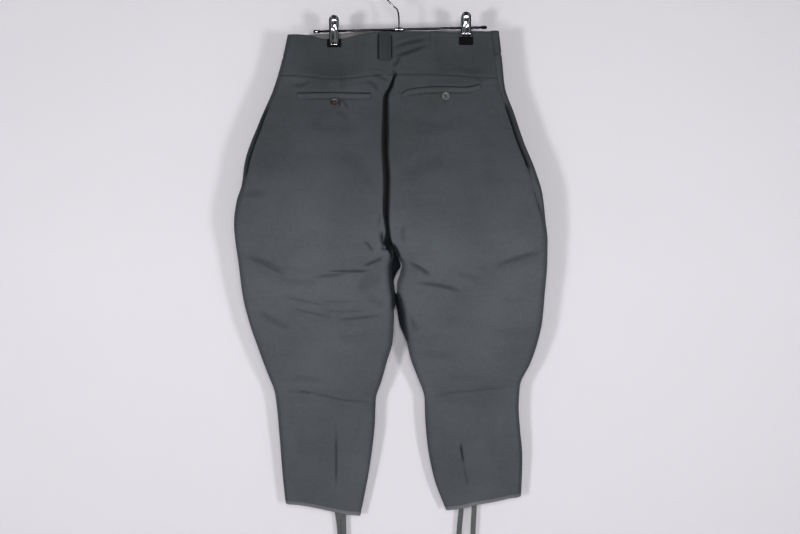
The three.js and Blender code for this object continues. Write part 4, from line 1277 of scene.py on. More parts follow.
def on_layer(front, x, drop, creased=True):
    """Points and out directions of the middle of a layer at arrays of x and drop."""
    x, drop = np.broadcast_arrays(np.asarray(x, float), np.asarray(drop, float))

    def place(px, pd):
        left = px < inner_edge_x(HALVES["left"], front, pd)
        result = np.zeros(px.shape + (3,))
        for half, mask in ((HALVES["left"], left), (HALVES["right"], ~left)):
            if not mask.any():
                continue
            qx, qd = px[mask], pd[mask]
            inner = inner_edge_x(half, front, qd)
            distance = np.abs(qx - inner)
            round_in = inner_round(half, front, qd)
            across = distance / np.abs(half["outer"](qd) - inner)
            near = distance < round_in
            t = distance / round_in
            rounded, share = surface(half, np.where(near, 6 - t if front else t, 1.5), qd)
            y = np.where(near, rounded[:, 1], layer_y(front, qx, qd, across))
            share = np.where(near, share, 1)
            if creased:
                lifted = relief(front, qx, qd, share)[0]
                y = y + (lifted if front else -lifted)
            result[mask] = np.stack([qx, y, -qd], -1)
        return result

    right = place(x + 0.5, drop) - place(x - 0.5, drop)
    down = place(x, drop + 0.5) - place(x, drop - 0.5)
    normal = unit(np.cross(right, down)) * (1 if front else -1)
    return place(x, drop), normal


WELTS = {
    "left": (-185.6, -51, curve([[-186, 219.6], [-120, 219.0], [-51, 219.8]])),
    "right": (8, 151, curve([[8, 219], [20, 212], [72, 207.5], [125, 208.5], [151, 203.5]])),
}
WELT_HEIGHT = 7.4
WELT_THICKNESS = 1.2


def add_welt(name):
    """A pocket's lip: a strip along its top line, crowned across its height so that both folded
    edges turn down to the panel."""
    start, end, top_line = WELTS[name]
    x = np.linspace(start, end, 110)[None, :] * np.ones((9, 1))
    share = np.linspace(0, 1, 9)[:, None]
    drop = top_line(x) + WELT_HEIGHT * share
    points, normal = on_layer(False, x, drop)
    crown = 0.5 * np.sin(PI * share) + 0.12 * np.sin(x / 3.1) * np.sin(PI * share)
    lift = CLOTH / 2 + LIE_GAP * 0.6 + WELT_THICKNESS / 2 + crown
    points = points + normal * lift[..., None]
    width = (end - start) * MM
    add_cloth(f"pocket_welt_{name}", points[:, ::-1], WELT_THICKNESS, "wool", "welt",
              (width, 0.0102), [f"back_{name}"], width * 0.0076)


def add_belt_loop():
    """A folded strip sewn down at both ends and bowed off the yoke between them."""
    first, last, top, end = -34.9, -13.4, 104.0, 156.5
    t = np.linspace(0, 1, 42)[:, None]
    s = np.linspace(0, 1, 15)[None, :]
    x = mix(first, last, s) + 0.5 * np.sin(3 * PI * t)
    drop = mix(top, end, t) + 0.4 * np.cos(PI * s)
    points, normal = on_layer(False, x, drop, creased=False)
    lift = CLOTH / 2 + LIE_GAP + 0.5 + 0.6 + 3.0 * np.sin(PI * t) + 0.35 * np.sin(PI * s)
    press = 0.5 * np.exp(-(((s - 0.12) / 0.05) ** 2)) + 0.5 * np.exp(-(((s - 0.88) / 0.05) ** 2))
    points = points + normal * (lift - 0.3 * press)[..., None]
    add_cloth("belt_loop", points[:, ::-1], THIN_CLOTH, "yoke_wool", "loop", (0.0215, 0.054),
              ["back_yoke_left", "back_yoke_right"])


FLY_THICKNESS = 1.4


def add_fly():
    """The fly strip over the front opening, curving back to it at its foot."""
    drop = np.linspace(142, 330, 70)[:, None]
    s = np.linspace(0, 1, 22)[None, :]
    reach = 29 - 16 * np.clip((drop - 259.5) / 70.5, 0, 1) ** 2
    x = mix(-6, reach, s)
    points, normal = on_layer(True, x, drop * np.ones_like(s))
    lift = CLOTH / 2 + LIE_GAP + FLY_THICKNESS / 2 + 0.4 + 0.25 * np.sin(PI * s)
    points = points + normal * (lift * np.ones_like(x))[..., None]
    add_cloth("fly_strip", points, FLY_THICKNESS, "wool", "wool", (0.036, 0.19),
              ["front_left", "front_right"], 0.036 * 0.18)


# ------------------------------------------------------------------------------ stitches


def stitch_row(path, normal, length=2.7, gap=0.9, radius=0.24, lift=0.2):
    """Stitches along a path on the cloth: each is a low six-sided spindle whose two ends dip into
    the cloth. All of them are worked out together as one array."""
    at = line_lengths(path)
    count = max(1, int(at[-1] / (length + gap)))
    middle = (np.arange(count) + 0.5) * at[-1] / count
    where = (middle[:, None] + np.linspace(-0.5, 0.5, 5) * length).clip(0, at[-1])
    centre = at_lengths(where, at, path)
    out = unit(at_lengths(where, at, normal))
    heading = unit(centre[:, -1:] - centre[:, :1]) * np.ones_like(centre)
    side = unit(np.cross(heading, out))
    size = radius * np.array([0.35, 0.9, 1.0, 0.9, 0.35])
    rise = lift * np.array([-1.0, 0.6, 1.0, 0.6, -1.0])
    angle = np.linspace(0, 2 * PI, 6, endpoint=False)
    ring = (
        np.cos(angle)[None, None, :, None] * side[:, :, None]
        + np.sin(angle)[None, None, :, None] * out[:, :, None]
    )
    points = (centre + out * rise[None, :, None])[:, :, None] + ring * size[None, :, None, None]
    one = grid_faces(5, 6, 0, True, True).tolist() + [[0, 1, 2, 3, 4, 5], [29, 28, 27, 26, 25, 24]]
    faces = [[corner + 30 * k for corner in face] for k in range(count) for face in one]
    return points.reshape(-1, 3), faces


def edge_line(name, side, distance, start=0.0, end=1.0, step=1.2):
    """A line that keeps one distance from a side of a kept grid, between two shares of that side,
    with the out directions along it."""
    points, normals = GRIDS[name]
    if side in ("top", "bottom"):
        points, normals = points.swapaxes(0, 1), normals.swapaxes(0, 1)
    if side in ("last", "bottom"):
        points, normals = points[:, ::-1], normals[:, ::-1]
    run = lengths_along(points, 1)
    inner = (run < distance).sum(1).clip(1, points.shape[1] - 1)
    row = np.arange(len(points))
    share = ((distance - run[row, inner - 1]) / (run[row, inner] - run[row, inner - 1]))[:, None]
    line = mix(points[row, inner - 1], points[row, inner], share)
    out = unit(mix(normals[row, inner - 1], normals[row, inner], share))
    at = line_lengths(line)
    wanted = np.arange(start * at[-1], end * at[-1], step)
    line, out = at_lengths(wanted, at, line), at_lengths(wanted, at, out)
    return line + out * CLOTH / 2, unit(out)


def layer_line(front, line, above, step=1.0):
    """A line through (x, drop) points on a layer, with its out directions, moved out above it."""
    line = np.array(line, float)
    at = line_lengths(line)
    even = np.linspace(0, at[-1], max(2, int(at[-1] / step)))
    points, normal = on_layer(front, *at_lengths(even, at, line).T)
    return points + normal * above, normal


ON_CLOTH = CLOTH / 2 + 0.1
TACK = {"length": 1.1, "gap": 0.05, "radius": 0.42, "lift": 0.15}


def add_stitches(length):
    """Every sewn line, joined into one piece for each group of lines."""
    groups = {}

    def sew(group, line, **style):
        row = stitch_row(*line, **(style or {"length": length, "radius": 0.26}))
        groups.setdefault(group, []).append(row)

    on_welt = CLOTH / 2 + LIE_GAP * 0.6 + 1.35
    for half_name in HALVES:
        yoke, band = f"back_yoke_{half_name}", f"front_waistband_{half_name}"
        for distance in (3.2, 7.4):
            sew("slits", edge_line(f"back_{half_name}", "last", distance, 0.02, 0.27))
        sew("yoke", edge_line(yoke, "bottom", 3.4))
        sew("waist", edge_line(yoke, "top", 3.0))
        sew("waist", edge_line(band, "top", 3.0))
        sew("waist", edge_line(band, "bottom", 3.0))
        sew("hems", edge_line(f"hem_binding_{half_name}", "top", 1.6))
        start, end, top_line = WELTS[half_name]
        x = np.linspace(start + 1.5, end - 1.5, 12)
        low = np.stack([x, top_line(x) + WELT_HEIGHT + 2.2], -1)
        high = np.stack([x, top_line(x) + WELT_HEIGHT * 0.8], -1)
        sew("pockets", layer_line(False, low, ON_CLOTH))
        sew("pockets", layer_line(False, high, on_welt))
        for at in (start, end):
            top = float(top_line(at))
            ends = np.array([[at, top - 2.4], [at, top + WELT_HEIGHT + 2.4]])
            for shift in (-0.5, 0.4):
                sew("pockets", layer_line(False, ends + [shift, 0], on_welt - 0.3, 0.5), **TACK)
    for x in (-32.6, -15.7):
        drop = np.linspace(106, 154.5, 60)
        points, out = on_layer(False, np.full(60, x), drop, creased=False)
        bow = 3.0 * np.sin(PI * (drop - 104) / 52.5)
        rise = CLOTH / 2 + LIE_GAP + 0.5 + 0.6 + THIN_CLOTH / 2 + bow
        sew("belt_loop", (points + out * rise[:, None], out))
    for drop in (105.6, 155.0):
        sew("belt_loop", layer_line(False, [[-33.4, drop], [-14.9, drop]], CLOTH / 2 + 2.45, 0.5),
            **TACK)
    fly = [[25.5, 146], [25.5, 262], [22, 290], [14, 312], [2, 324]]
    sew("fly", layer_line(True, fly, CLOTH / 2 + LIE_GAP + 2.05))
    for x in (60.5, 71.0):
        sew("waist", layer_line(False, [[x, 101.5], [x, 120.5]], ON_CLOTH, 0.5), **TACK)
    for name, rows in groups.items():
        thread = MATERIALS["pale thread" if name == "pockets" else "thread"]
        put_mesh("stitches_" + name, *join(rows), material=thread)


def add_buttonholes():
    """A worked buttonhole is a purl edge of close stitches round a long oval slit."""
    rows = []
    t = np.linspace(0, 2 * PI, 60)
    for x, top, end in ((87.6, 228.5, 238.5), (-116.4, 240, 248.5)):
        middle, reach = (top + end) / 2, (end - top) / 2
        px, pd = x + 1.15 * np.sin(t), middle - reach * np.cos(t)
        points, out = on_layer(False, px, pd)
        rows.append(stitch_row(points + out * ON_CLOTH, out, length=0.85, gap=0.02, radius=0.5,
                               lift=0.1))
    put_mesh("buttonholes", *join(rows), material=MATERIALS["thread"])


# ------------------------------------------------------------------------------ buttons


BUTTON_HEIGHT = 3.0

# From a button's middle to each of its holes, across and up.
BUTTON_HOLE = 1.75

# A button's side and underside: shares of its radius and of its height.
BUTTON_SIDE = np.array([[0.985, 0.84], [1.0, 0.55], [0.985, 0.24], [0.93, 0.05], [0.7, 0],
                        [0.02, 0]])

# Whether it is on the front, its x, drop and radius, its horn, its slot, and its turn.
BUTTONS = {
    "button_left": (False, -116.4, 236.2, 8.4, "brown horn", "brown_button", 0.5),
    "button_right": (False, 88.3, 224.5, 7.6, "grey horn", "grey_button", 0.9),
    "waist_button": (True, 30.0, 118.0, 8.5, "grey horn", "grey_button", 0.0),
}


def button_top(u, v, radius):
    """Height of a button's upper face: a raised rim, a dished middle, and four holes that are
    round pits with soft mouths."""
    r = np.hypot(u, v) / radius
    rim = np.exp(-(((r - 0.84) / 0.1) ** 2))
    height = BUTTON_HEIGHT * (0.64 + 0.36 * rim + 0.03 * np.cos(9 * r))
    for a, b in ((-1, -1), (-1, 1), (1, -1), (1, 1)):
        away = np.hypot(u - a * BUTTON_HOLE, v - b * BUTTON_HOLE)
        height -= 1.7 * (1 - smooth_step(0.55, 1.15, away))
    return height


def add_button(name, front, x, drop, radius, look, slot, turn):
    """A four-hole button: its upper face is a height over a disc, the side is rounded, and the
    underside is flat. Two bars of thread cross it and wind into a shank under it."""
    place, out = (value[0] for value in on_layer(front, [x], [drop], creased=False))
    across = unit(np.cross([0.0, 0.0, 1.0], out))
    up = np.cross(out, across)
    base = place + out * (CLOTH / 2 + LIE_GAP)
    angle = np.linspace(0, 2 * PI, 72, endpoint=False)
    face = np.linspace(0.02, 0.94, 44)
    rings = np.concatenate([face, BUTTON_SIDE[:, 0]])[:, None] * radius
    u, v = rings * np.cos(angle), rings * np.sin(angle)
    height = button_top(u, v, radius)
    height[len(face):] = BUTTON_SIDE[:, 1:] * BUTTON_HEIGHT
    points, faces = capped(base + u[..., None] * across + v[..., None] * up + height[..., None] * out)
    put_mesh(name + "_horn", points, faces, slot=slot, material=MATERIALS[look],
             stands_for=[name])
    threads = []
    s = np.linspace(-1, 1, 15)
    a = 1.9 * s
    rise = BUTTON_HEIGHT * 0.64 + 0.35 - 1.2 * np.abs(s) ** 6
    for side in (-1, 1):
        for offset in (-0.3, 0.0, 0.3):
            b = side * BUTTON_HOLE + offset
            pu = a * math.cos(turn) - b * math.sin(turn)
            pv = a * math.sin(turn) + b * math.cos(turn)
            path = base + pu[:, None] * across + pv[:, None] * up + rise[:, None] * out
            threads.append(rod(path, 0.22, 6, out))
    profile = [(0, -LIE_GAP - 0.2), (1.9, -LIE_GAP - 0.1), (1.7, -0.2), (1.9, 0.15), (0, 0.2)]
    threads.append(lathe(profile, base, out, 16))
    put_mesh(name + "_thread", *join(threads), material=MATERIALS["thread"])


# ------------------------------------------------------------------------------ the hanger


HANGER_TILT = math.radians(-1.4)
BAR_DROP = 95.0
BAR_RADIUS = 2.5
BAR_FROM, BAR_TO, CAP_LENGTH = -160.5, 164.5, 11.0
HOOK_WIRE_RADIUS = 1.6
HOOK_RADIUS = 25.0
CLIP_PLACES = {"left": -121.7, "right": 125.0}
PAD_DROP = {"left": 121.0, "right": 116.8}
PAD_SIZE = (26.0, 15.5, 2.8, 1.6)
COIL = {"turns": 7.5, "length": 12 * 0.86, "radius": 3.72, "wire": 0.62}
BAR_WAY = (math.cos(HANGER_TILT), 0.0, -math.sin(HANGER_TILT))


def tilted(points):
    """Turns points about Y through the origin, as the whole hanger is turned."""
    x, y, z = np.asarray(points, float).T
    c, s = math.cos(HANGER_TILT), math.sin(HANGER_TILT)
    return np.stack([x * c + z * s, y, z * c - x * s], -1)


def catmull_rom(points, per=10):
    """A smooth line through points: on each stretch, a cubic whose slopes are half the chords
    between the neighbours."""
    points = np.asarray(points, float)
    ends = np.concatenate([[2 * points[0] - points[1]], points, [2 * points[-1] - points[-2]]])
    a, b, c, d = ends[:-3], ends[1:-2], ends[2:-1], ends[3:]
    t = np.linspace(0, 1, per, endpoint=False)[None, :, None]
    a, b, c, d = (value[:, None] for value in (a, b, c, d))
    line = 0.5 * (2 * b + (c - a) * t + (2 * a - 5 * b + 4 * c - d) * t ** 2
                  + (3 * b - a - 3 * c + d) * t ** 3)
    return np.concatenate([line.reshape(-1, 3), points[-1:]])


def add_hook():
    """The hook's wire: up from the ferrule, leaning left, and round an open bight."""
    centre = -(HOOK_RADIUS - HOOK_WIRE_RADIUS)
    degrees = np.radians([188, 168, 146, 124, 102, 80, 58, 36, 14, -8, -28])
    bight = np.stack([HOOK_RADIUS * np.cos(degrees), 0 * degrees,
                      centre + HOOK_RADIUS * np.sin(degrees)], -1)
    stem = [(0, 0, -90.2), (0, 0, -80), (-0.4, 0, -68), (-2.6, 0, -58), (-11, 0, -50),
            (-19.5, 0, -40)]
    path = tilted(catmull_rom(np.concatenate([stem, bight])))
    points, faces = rod(path, HOOK_WIRE_RADIUS, 20)
    put_mesh("hook_wire", points, faces, slot="chrome", material=MATERIALS["dark grey steel"],
             stands_for=["hanger_hook"])


def add_bar():
    """The bar, its beaded ferrule and its two end caps."""
    x = np.linspace(BAR_FROM + CAP_LENGTH - 0.3, BAR_TO - CAP_LENGTH + 0.3, 60)
    path = tilted(np.stack([x, 0 * x, 0 * x - BAR_DROP], -1))
    points, faces = rod(path, BAR_RADIUS, 28)
    # The bar's near-black metal is a painted dark reflection.
    put_mesh("bar_rod", points, faces, slot="chrome", material=MATERIALS["chrome with painted dark reflection"],
             stands_for=["hanger_bar"])
    h = np.linspace(-7.5, 7.5, 41)
    bead = 3.75 + 0.45 * smooth_step(5.0, 6.6, np.abs(h)) * (1 - smooth_step(7.0, 7.5, np.abs(h)))
    waist = bead + 0.35 * np.exp(-((h / 1.6) ** 2)) - 0.5 * smooth_step(7.1, 7.5, np.abs(h))
    profile = [(2.75, -7.3), *zip(waist, h), (2.75, 7.3)]
    middle = tilted([[0, 0, -BAR_DROP]])[0]
    points, faces = lathe_ring(profile, middle, BAR_WAY, 40)
    put_mesh("ferrule_collar", points, faces, slot="chrome", material=MATERIALS["chrome"],
             stands_for=["hanger_ferrule"])
    for name, end, out in (("left", BAR_FROM, -1), ("right", BAR_TO, 1)):
        radius, length = BAR_RADIUS + 0.6, CAP_LENGTH - 0.3
        t = np.linspace(0, 1, 12)
        nose = np.stack([radius * np.cos(t * PI / 2), length - 2.6 + 2.6 * np.sin(t * PI / 2)], -1)
        lip = [(0, 0), (radius - 0.5, 0), (radius + 0.05, 0.35), (radius + 0.05, 1.3),
               (radius - 0.15, 1.8), (radius, 2.4)]
        start = tilted([[end - out * length, 0, -BAR_DROP]])[0]
        if name == "left":
            sleeve = [(radius - 0.4, 3.0), (radius + 0.3, 3.1), (radius + 0.3, 6.8),
                      (radius - 0.4, 6.9)]
            points, faces = lathe_ring(sleeve, start, np.array(BAR_WAY) * out, 32)
            put_mesh("cap_left_sleeve", points, faces, material=MATERIALS["chrome"])
        points, faces = lathe(np.concatenate([lip, nose]), start, np.array(BAR_WAY) * out, 32)
        put_mesh(f"cap_{name}", points, faces, slot="black_rubber",
                 material=MATERIALS["rubber"], stands_for=[f"bar_cap_{name}"])


def lever_shape(middle, out, tucked):
    """One lever: a pressed plate, domed across, with a rounded head, a channel down the middle of
    its lower half and a dimple in its head. out is -1 for the back one and 1 for the front one.
    The foot of a tucked one runs flat inside its pad."""
    half_width = curve([[-28, 2.2], [-26.6, 5.4], [-23, 8.2], [-18, 9], [-6, 8.7], [12, 8.8],
                        [27.5, 7.4]])
    stand = curve([[-28, 7.4], [-14, 7], [0, 6], [14, 6.3], [27.5, 7]])
    drop = np.concatenate([np.linspace(-28, -22, 14)[:-1], np.linspace(-22, 27.5, 60)])[:, None]
    t = np.linspace(-1, 1, 41)[None, :]
    wide = half_width(drop)
    dome = 4.6 * (wide / 9) * np.cos(t * PI / 2) ** 0.85
    lower = smooth_step(-8, 2, drop)
    channel = 1.5 * np.exp(-((t / 0.28) ** 2)) * lower * (1 - smooth_step(22, 27, drop))
    dimple = 0.8 * np.exp(-((t / 0.3) ** 2) - ((drop + 16) / 5) ** 2)
    y = stand(drop) + dome - channel - dimple
    if tucked:
        y = mix(y, 3.9, smooth_step(12.5, 17.5, drop))
        wide = mix(wide, 11.0, 0.6 * smooth_step(-6, 14, drop))
    x = wide * np.sin(t * PI / 2)
    points = np.stack([x, out * y, -drop * np.ones_like(x)], -1) + middle
    return points if out > 0 else points[:, ::-1]


def slab_shape(middle, width, height, thickness, corner):
    """A pad: a rounded rectangle in x and z whose edges are quarter rounds towards both faces."""
    bevel = 0.7
    turn = np.linspace(0, PI / 2, 7)
    corners = [(1, 1, 0), (-1, 1, PI / 2), (-1, -1, PI), (1, -1, 1.5 * PI)]
    away = np.concatenate([np.stack([np.cos(turn + first), np.sin(turn + first)], -1)
                           for _, _, first in corners])
    middles = np.array([[a * (width / 2 - corner), b * (height / 2 - corner)]
                        for a, b, _ in corners])
    arc = np.repeat(middles, len(turn), 0) + corner * away
    round_ = np.linspace(0, PI / 2, 5)
    inset, sunk = bevel * (1 - np.sin(round_)), bevel * (1 - np.cos(round_))
    inset = np.concatenate([inset, inset[::-1]])
    depth = np.concatenate([sunk, thickness - sunk[::-1]])
    rings = arc[None] - away[None] * inset[:, None, None]
    points = np.stack([rings[..., 0], depth[:, None] * np.ones(len(arc)) - thickness / 2,
                       rings[..., 1]], -1) + middle
    return capped(points)


def add_clip(name):
    """A clip: two levers, the coiled spring round the bar, and a rubber pad inside each jaw."""
    middle = tilted([[CLIP_PLACES[name], 0, -BAR_DROP]])[0]
    for side, out in (("back", -1), ("front", 1)):
        points = lever_shape(middle, out, name == "right")
        put_shell(f"clip_{name}_plate_{side}", points, 1.0, slot="chrome",
                  material=MATERIALS["chrome"], stands_for=[f"clip_{name}_lever_{side}"])
        face = -2.4 if side == "back" else 3.0
        centre = [middle[0], face + out * PAD_SIZE[2] / 2, -PAD_DROP[name]]
        points, faces = slab_shape(centre, *PAD_SIZE)
        put_mesh(f"clip_{name}_rubber_{side}", points, faces, slot="black_rubber",
                 material=MATERIALS["rubber"], stands_for=[f"clip_{name}_pad_{side}"])
    t = np.linspace(0, 1, 180)
    angle = 2 * PI * COIL["turns"] * t
    coil = np.stack([COIL["length"] * (t - 0.5), COIL["radius"] * np.cos(angle),
                     COIL["radius"] * np.sin(angle)], -1)
    points, faces = rod(tilted(coil) + middle, COIL["wire"], 8, BAR_WAY)
    put_mesh(f"clip_{name}_coil", points, faces, slot="chrome", material=MATERIALS["chrome"],
             stands_for=[f"clip_{name}_spring"])


# ------------------------------------------------------------------------------ operators


class BreechesSizes(bpy.types.PropertyGroup):
    """Sizes and colours of the cloth and its trimmings."""

    wool_colour: bpy.props.FloatVectorProperty(
        name="Wool colour", description="Colour of the big panels", subtype="COLOR_GAMMA",
        default=(0.247, 0.26, 0.271), min=0, max=1)
    # The yoke is darker than the panels partly as painted shade, where less light falls on the top of
    # the breeches, and partly in its own tone.
    yoke_painted_shade_and_tone: bpy.props.FloatProperty(
        name="Yoke shade", description="The yoke's colour as a share of the panels'",
        default=0.9, min=0.2, max=1.5, subtype="FACTOR")
    tape_width: bpy.props.FloatProperty(
        name="Tape width", description="Width of the four tie tapes", default=0.009,
        unit="LENGTH")
    stitch_length: bpy.props.FloatProperty(
        name="Stitch length", description="Length of one stitch", default=0.0027, unit="LENGTH")


class StudioSizes(bpy.types.PropertyGroup):
    """The camera and the lights."""

    camera_distance: bpy.props.FloatProperty(
        name="Camera distance", description="From the camera to the plane of the hanger",
        default=2.080, unit="LENGTH")
    camera_x: bpy.props.FloatProperty(
        name="Camera x", description="Middle of the view across", default=0.0038, unit="LENGTH")
    camera_z: bpy.props.FloatProperty(
        name="Camera z", description="Middle of the view in height", default=-0.5395,
        unit="LENGTH")
    wall_room: bpy.props.FloatProperty(
        name="Wall room", description="From the plane of the hanger to the wall", default=0.062,
        unit="LENGTH")


TAPES = {
    "tie_tape_left_outer": [
        (-115.5, 6.6, 978), (-114.8, 6.4, 990), (-113, 5.6, 1004), (-110.6, 4.8, 1022),
        (-109, 4.4, 1040), (-108.4, 4.6, 1062), (-109, 5.2, 1086), (-110.4, 5.6, 1110),
        (-111.4, 5.4, 1134), (-111.2, 4.8, 1158), (-110, 4.2, 1182), (-108.8, 4, 1206),
        (-108.2, 4.2, 1230)],
    "tie_tape_left_inner": [
        (-103.2, 6.3, 980), (-102.8, 5.8, 992), (-102.2, 4.6, 1006), (-101.8, 3, 1024),
        (-101.5, 2, 1042), (-100.6, 1.8, 1064), (-99.4, 2, 1088), (-98.6, 2.4, 1112),
        (-98.6, 2.8, 1136), (-99.4, 2.6, 1160), (-100.4, 2, 1184), (-100.8, 1.6, 1208),
        (-100.6, 1.6, 1228)],
    "tie_tape_right_inner": [
        (119.4, 6.8, 968), (119.2, 6.6, 980), (118.6, 5.9, 994), (116.9, 5, 1012),
        (115.2, 4.4, 1030), (114.2, 4.2, 1052), (114, 4.6, 1076), (114.6, 5.2, 1100),
        (115.4, 5.6, 1124), (115.8, 5.6, 1148), (115.4, 5, 1172), (114.8, 4.4, 1196),
        (114.6, 4.2, 1216)],
    "tie_tape_right_outer": [
        (144, 6.7, 964), (143.8, 6.5, 976), (143.2, 5.9, 990), (142.2, 5, 1008),
        (141.2, 4.4, 1026), (140.6, 4.2, 1048), (140.8, 4.6, 1072), (141.6, 5.2, 1096),
        (142.2, 5.6, 1120), (142, 5.6, 1144), (141.2, 5, 1168), (140.4, 4.6, 1192),
        (140, 4.4, 1214)],
}


def add_tape(name, route, width):
    """A flat tape carried along its route: its width lies along x, and it cups gently."""
    path = smooth_path([(x, y, -drop) for x, y, drop in route], 120)
    _, wide, out = path_frames(path)
    s = np.linspace(-1, 1, 13)
    cup = 0.5 * (1 - s * s) * np.sin(np.linspace(0, 5, len(path)))[:, None]
    points = path[:, None] + wide[:, None] * (s * width / 2)[:, None]
    points = points + out[:, None] * cup[..., None]
    piece = put_shell(name + "_cloth", points, THIN_CLOTH, slot="tape", material=MATERIALS["tape"],
                      stands_for=[name])


class BREECHES_OT_camera(bpy.types.Operator):
    """Place the camera square to the back of the breeches"""

    bl_idname = "breeches.camera"
    bl_label = "Camera"

    def execute(self, context):
        sizes = context.scene.studio_sizes
        camera = bpy.data.cameras.new("camera")
        camera.lens = 50
        camera.sensor_width = 36
        camera.clip_end = 50
        seat = bpy.data.objects.new("camera", camera)
        seat.location = (sizes.camera_x, -sizes.camera_distance, sizes.camera_z)
        seat.rotation_euler = (PI / 2, 0, 0)
        context.scene.collection.objects.link(seat)
        context.scene.camera = seat
        return {"FINISHED"}


class BREECHES_OT_tapes(bpy.types.Operator):
    """Make the four tie tapes that hang from the hems"""

    bl_idname = "breeches.tapes"
    bl_label = "Tie Tapes"

    def execute(self, context):
        sizes = context.scene.breeches_sizes
        make_materials(sizes)
        for name, route in TAPES.items():
            add_tape(name, route, sizes.tape_width / MM)
        return {"FINISHED"}


class BREECHES_OT_cloth(bpy.types.Operator):
    """Make the big cut pieces, the yoke, the waistband, its facing and the hem bindings"""

    bl_idname = "breeches.cloth"
    bl_label = "Cut Pieces"

    def execute(self, context):
        make_materials(context.scene.breeches_sizes)
        for half_name in HALVES:
            add_panel(half_name, False)
            add_panel(half_name, True)
            add_yoke(half_name)
            add_waistband(half_name)
            add_facing(half_name)
            add_binding(half_name)
        return {"FINISHED"}


class BREECHES_OT_trimmings(bpy.types.Operator):
    """Make the pocket lips, the belt loop and the fly strip"""

    bl_idname = "breeches.trimmings"
    bl_label = "Trimmings"

    def execute(self, context):
        make_materials(context.scene.breeches_sizes)
        add_welt("left")
        add_welt("right")
        add_belt_loop()
        add_fly()
        return {"FINISHED"}


class BREECHES_OT_sewing(bpy.types.Operator):
    """Sew the stitched lines and the buttonholes, and sew on the buttons"""

    bl_idname = "breeches.sewing"
    bl_label = "Stitches and Buttons"

    def execute(self, context):
        sizes = context.scene.breeches_sizes
        make_materials(sizes)
        add_stitches(sizes.stitch_length / MM)
        add_buttonholes()
        for name, facts in BUTTONS.items():
            add_button(name, *facts)
        return {"FINISHED"}


class BREECHES_OT_hanger(bpy.types.Operator):
    """Make the hanger: hook, bar, ferrule, end caps and the two clips"""

    bl_idname = "breeches.hanger"
    bl_label = "Clip Hanger"

    def execute(self, context):
        make_materials(context.scene.breeches_sizes)
        add_hook()
        add_bar()
        for name in CLIP_PLACES:
            add_clip(name)
        return {"FINISHED"}


# The wall leans back by this much a metre, so that the hems hang nearest to it.
WALL_SLOPE = 0.055
FLOOR_Z = -1.5
WALL_TOP = 2.0

# Name, place, aim, size and power of each light.
LIGHTS = [
    ("left light", (-1.45, -2.25, -0.8), (0, 0, -0.5), 0.36, 24),
    ("right light", (1.45, -2.25, -0.8), (0, 0, -0.5), 0.36, 19.5),
    ("front light", (0.06, -2.5, -0.2), (0, 0, -0.45), 0.6, 21),
    ("rear light", (0.3, 3.2, 0.4), (0, 0, -0.5), 1.6, 64),
]


class BREECHES_OT_studio(bpy.types.Operator):
    """Set out a pale floor and wall and soft lights"""

    bl_idname = "breeches.studio"
    bl_label = "Studio"

    def execute(self, context):
        sizes = context.scene.studio_sizes
        scene = context.scene
        pale = linear((225, 222, 227))
        corners = [(x, y, FLOOR_Z) for x, y in ((-6, 5), (-6, -6), (6, -6), (6, 5))]
        floor = studio_plane("floor", corners, studio_material("floor paint", pale))
        foot, head = sizes.wall_room - 1.3 * WALL_SLOPE, sizes.wall_room + 2.2 * WALL_SLOPE
        corners = [(-4, foot, FLOOR_Z), (4, foot, FLOOR_Z), (4, head, WALL_TOP), (-4, head, WALL_TOP)]
        wall = studio_plane("wall", corners,
                            studio_material("wall paint", pale, see_through_behind=True))
        wall.visible_shadow = False
        wall.visible_diffuse = False
        wall.visible_glossy = False
        for light in LIGHTS:
            soft_light(*light)
        scene.world = studio_air()
        scene.view_settings.view_transform = "Standard"
        return {"FINISHED"}


def studio_air():
    """A dim surround with a bright upright band to each side, as from tall windows."""
    world = bpy.data.worlds.new("studio air")
    world.use_nodes = True
    w = Wiring(world.node_tree)
    way = w.node("ShaderNodeSeparateXYZ", Vector=w.node("ShaderNodeTexCoord").outputs["Generated"])
    aside = w.maths("ABSOLUTE", way.outputs["X"])
    band = w.maths("MULTIPLY", w.ramp(aside, 0.34, 0.4), w.ramp(aside, 0.62, 0.7, 1.0, 0.0))
    low = w.ramp(way.outputs["Z"], -0.5, -0.2)
    air = world.node_tree.nodes["Background"].inputs
    air["Color"].default_value = (0.93, 0.95, 1.0, 1)
    w.give(air["Strength"], w.maths("MULTIPLY_ADD", w.maths("MULTIPLY", band, low), 0.3, 0.035))
    return world


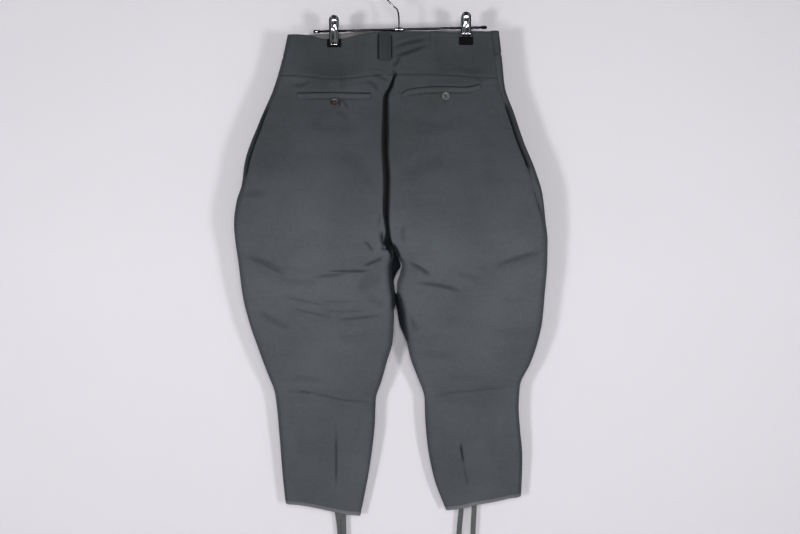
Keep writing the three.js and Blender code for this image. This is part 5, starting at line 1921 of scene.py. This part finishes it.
def studio_plane(name, corners, material):
    mesh = bpy.data.meshes.new(name)
    mesh.from_pydata(corners, [], [[0, 1, 2, 3]])
    mesh.materials.append(material)
    made = bpy.data.objects.new(name, mesh)
    bpy.context.scene.collection.objects.link(made)
    return made


def soft_light(name, place, aim, size, power):
    """A square area light at a place, turned to a point."""
    lamp = bpy.data.lights.new(name, "AREA")
    lamp.size = size
    lamp.energy = power
    made = bpy.data.objects.new(name, lamp)
    made.location = place
    made.rotation_euler = (Vector(aim) - Vector(place)).to_track_quat("-Z", "Y").to_euler()
    bpy.context.scene.collection.objects.link(made)
    return made


class BREECHES_PT_panel(bpy.types.Panel):
    """Lists the sizes and the pieces"""

    bl_idname = "BREECHES_PT_panel"
    bl_label = "Breeches"
    bl_space_type = "VIEW_3D"
    bl_region_type = "UI"
    bl_category = "Breeches"

    def draw(self, context):
        for group in (context.scene.breeches_sizes, context.scene.studio_sizes):
            for name in group.bl_rna.properties.keys():
                if name not in {"rna_type", "name"}:
                    self.layout.prop(group, name)
        for operator in OPERATORS:
            self.layout.operator(operator.bl_idname)


OPERATORS = (BREECHES_OT_camera, BREECHES_OT_tapes, BREECHES_OT_cloth, BREECHES_OT_trimmings,
             BREECHES_OT_sewing, BREECHES_OT_hanger, BREECHES_OT_studio)
CLASSES = (BreechesSizes, StudioSizes, *OPERATORS, BREECHES_PT_panel)


def register():
    for made in CLASSES:
        bpy.utils.register_class(made)
    bpy.types.Scene.breeches_sizes = bpy.props.PointerProperty(type=BreechesSizes)
    bpy.types.Scene.studio_sizes = bpy.props.PointerProperty(type=StudioSizes)


def unregister():
    del bpy.types.Scene.studio_sizes
    del bpy.types.Scene.breeches_sizes
    for made in reversed(CLASSES):
        bpy.utils.unregister_class(made)


def main():
    """Makes every piece in order."""
    register()
    bpy.ops.breeches.camera()
    bpy.ops.breeches.tapes()
    bpy.ops.breeches.cloth()
    bpy.ops.breeches.trimmings()
    bpy.ops.breeches.sewing()
    bpy.ops.breeches.hanger()
    bpy.ops.breeches.studio()


if __name__ == "__main__":
    main()
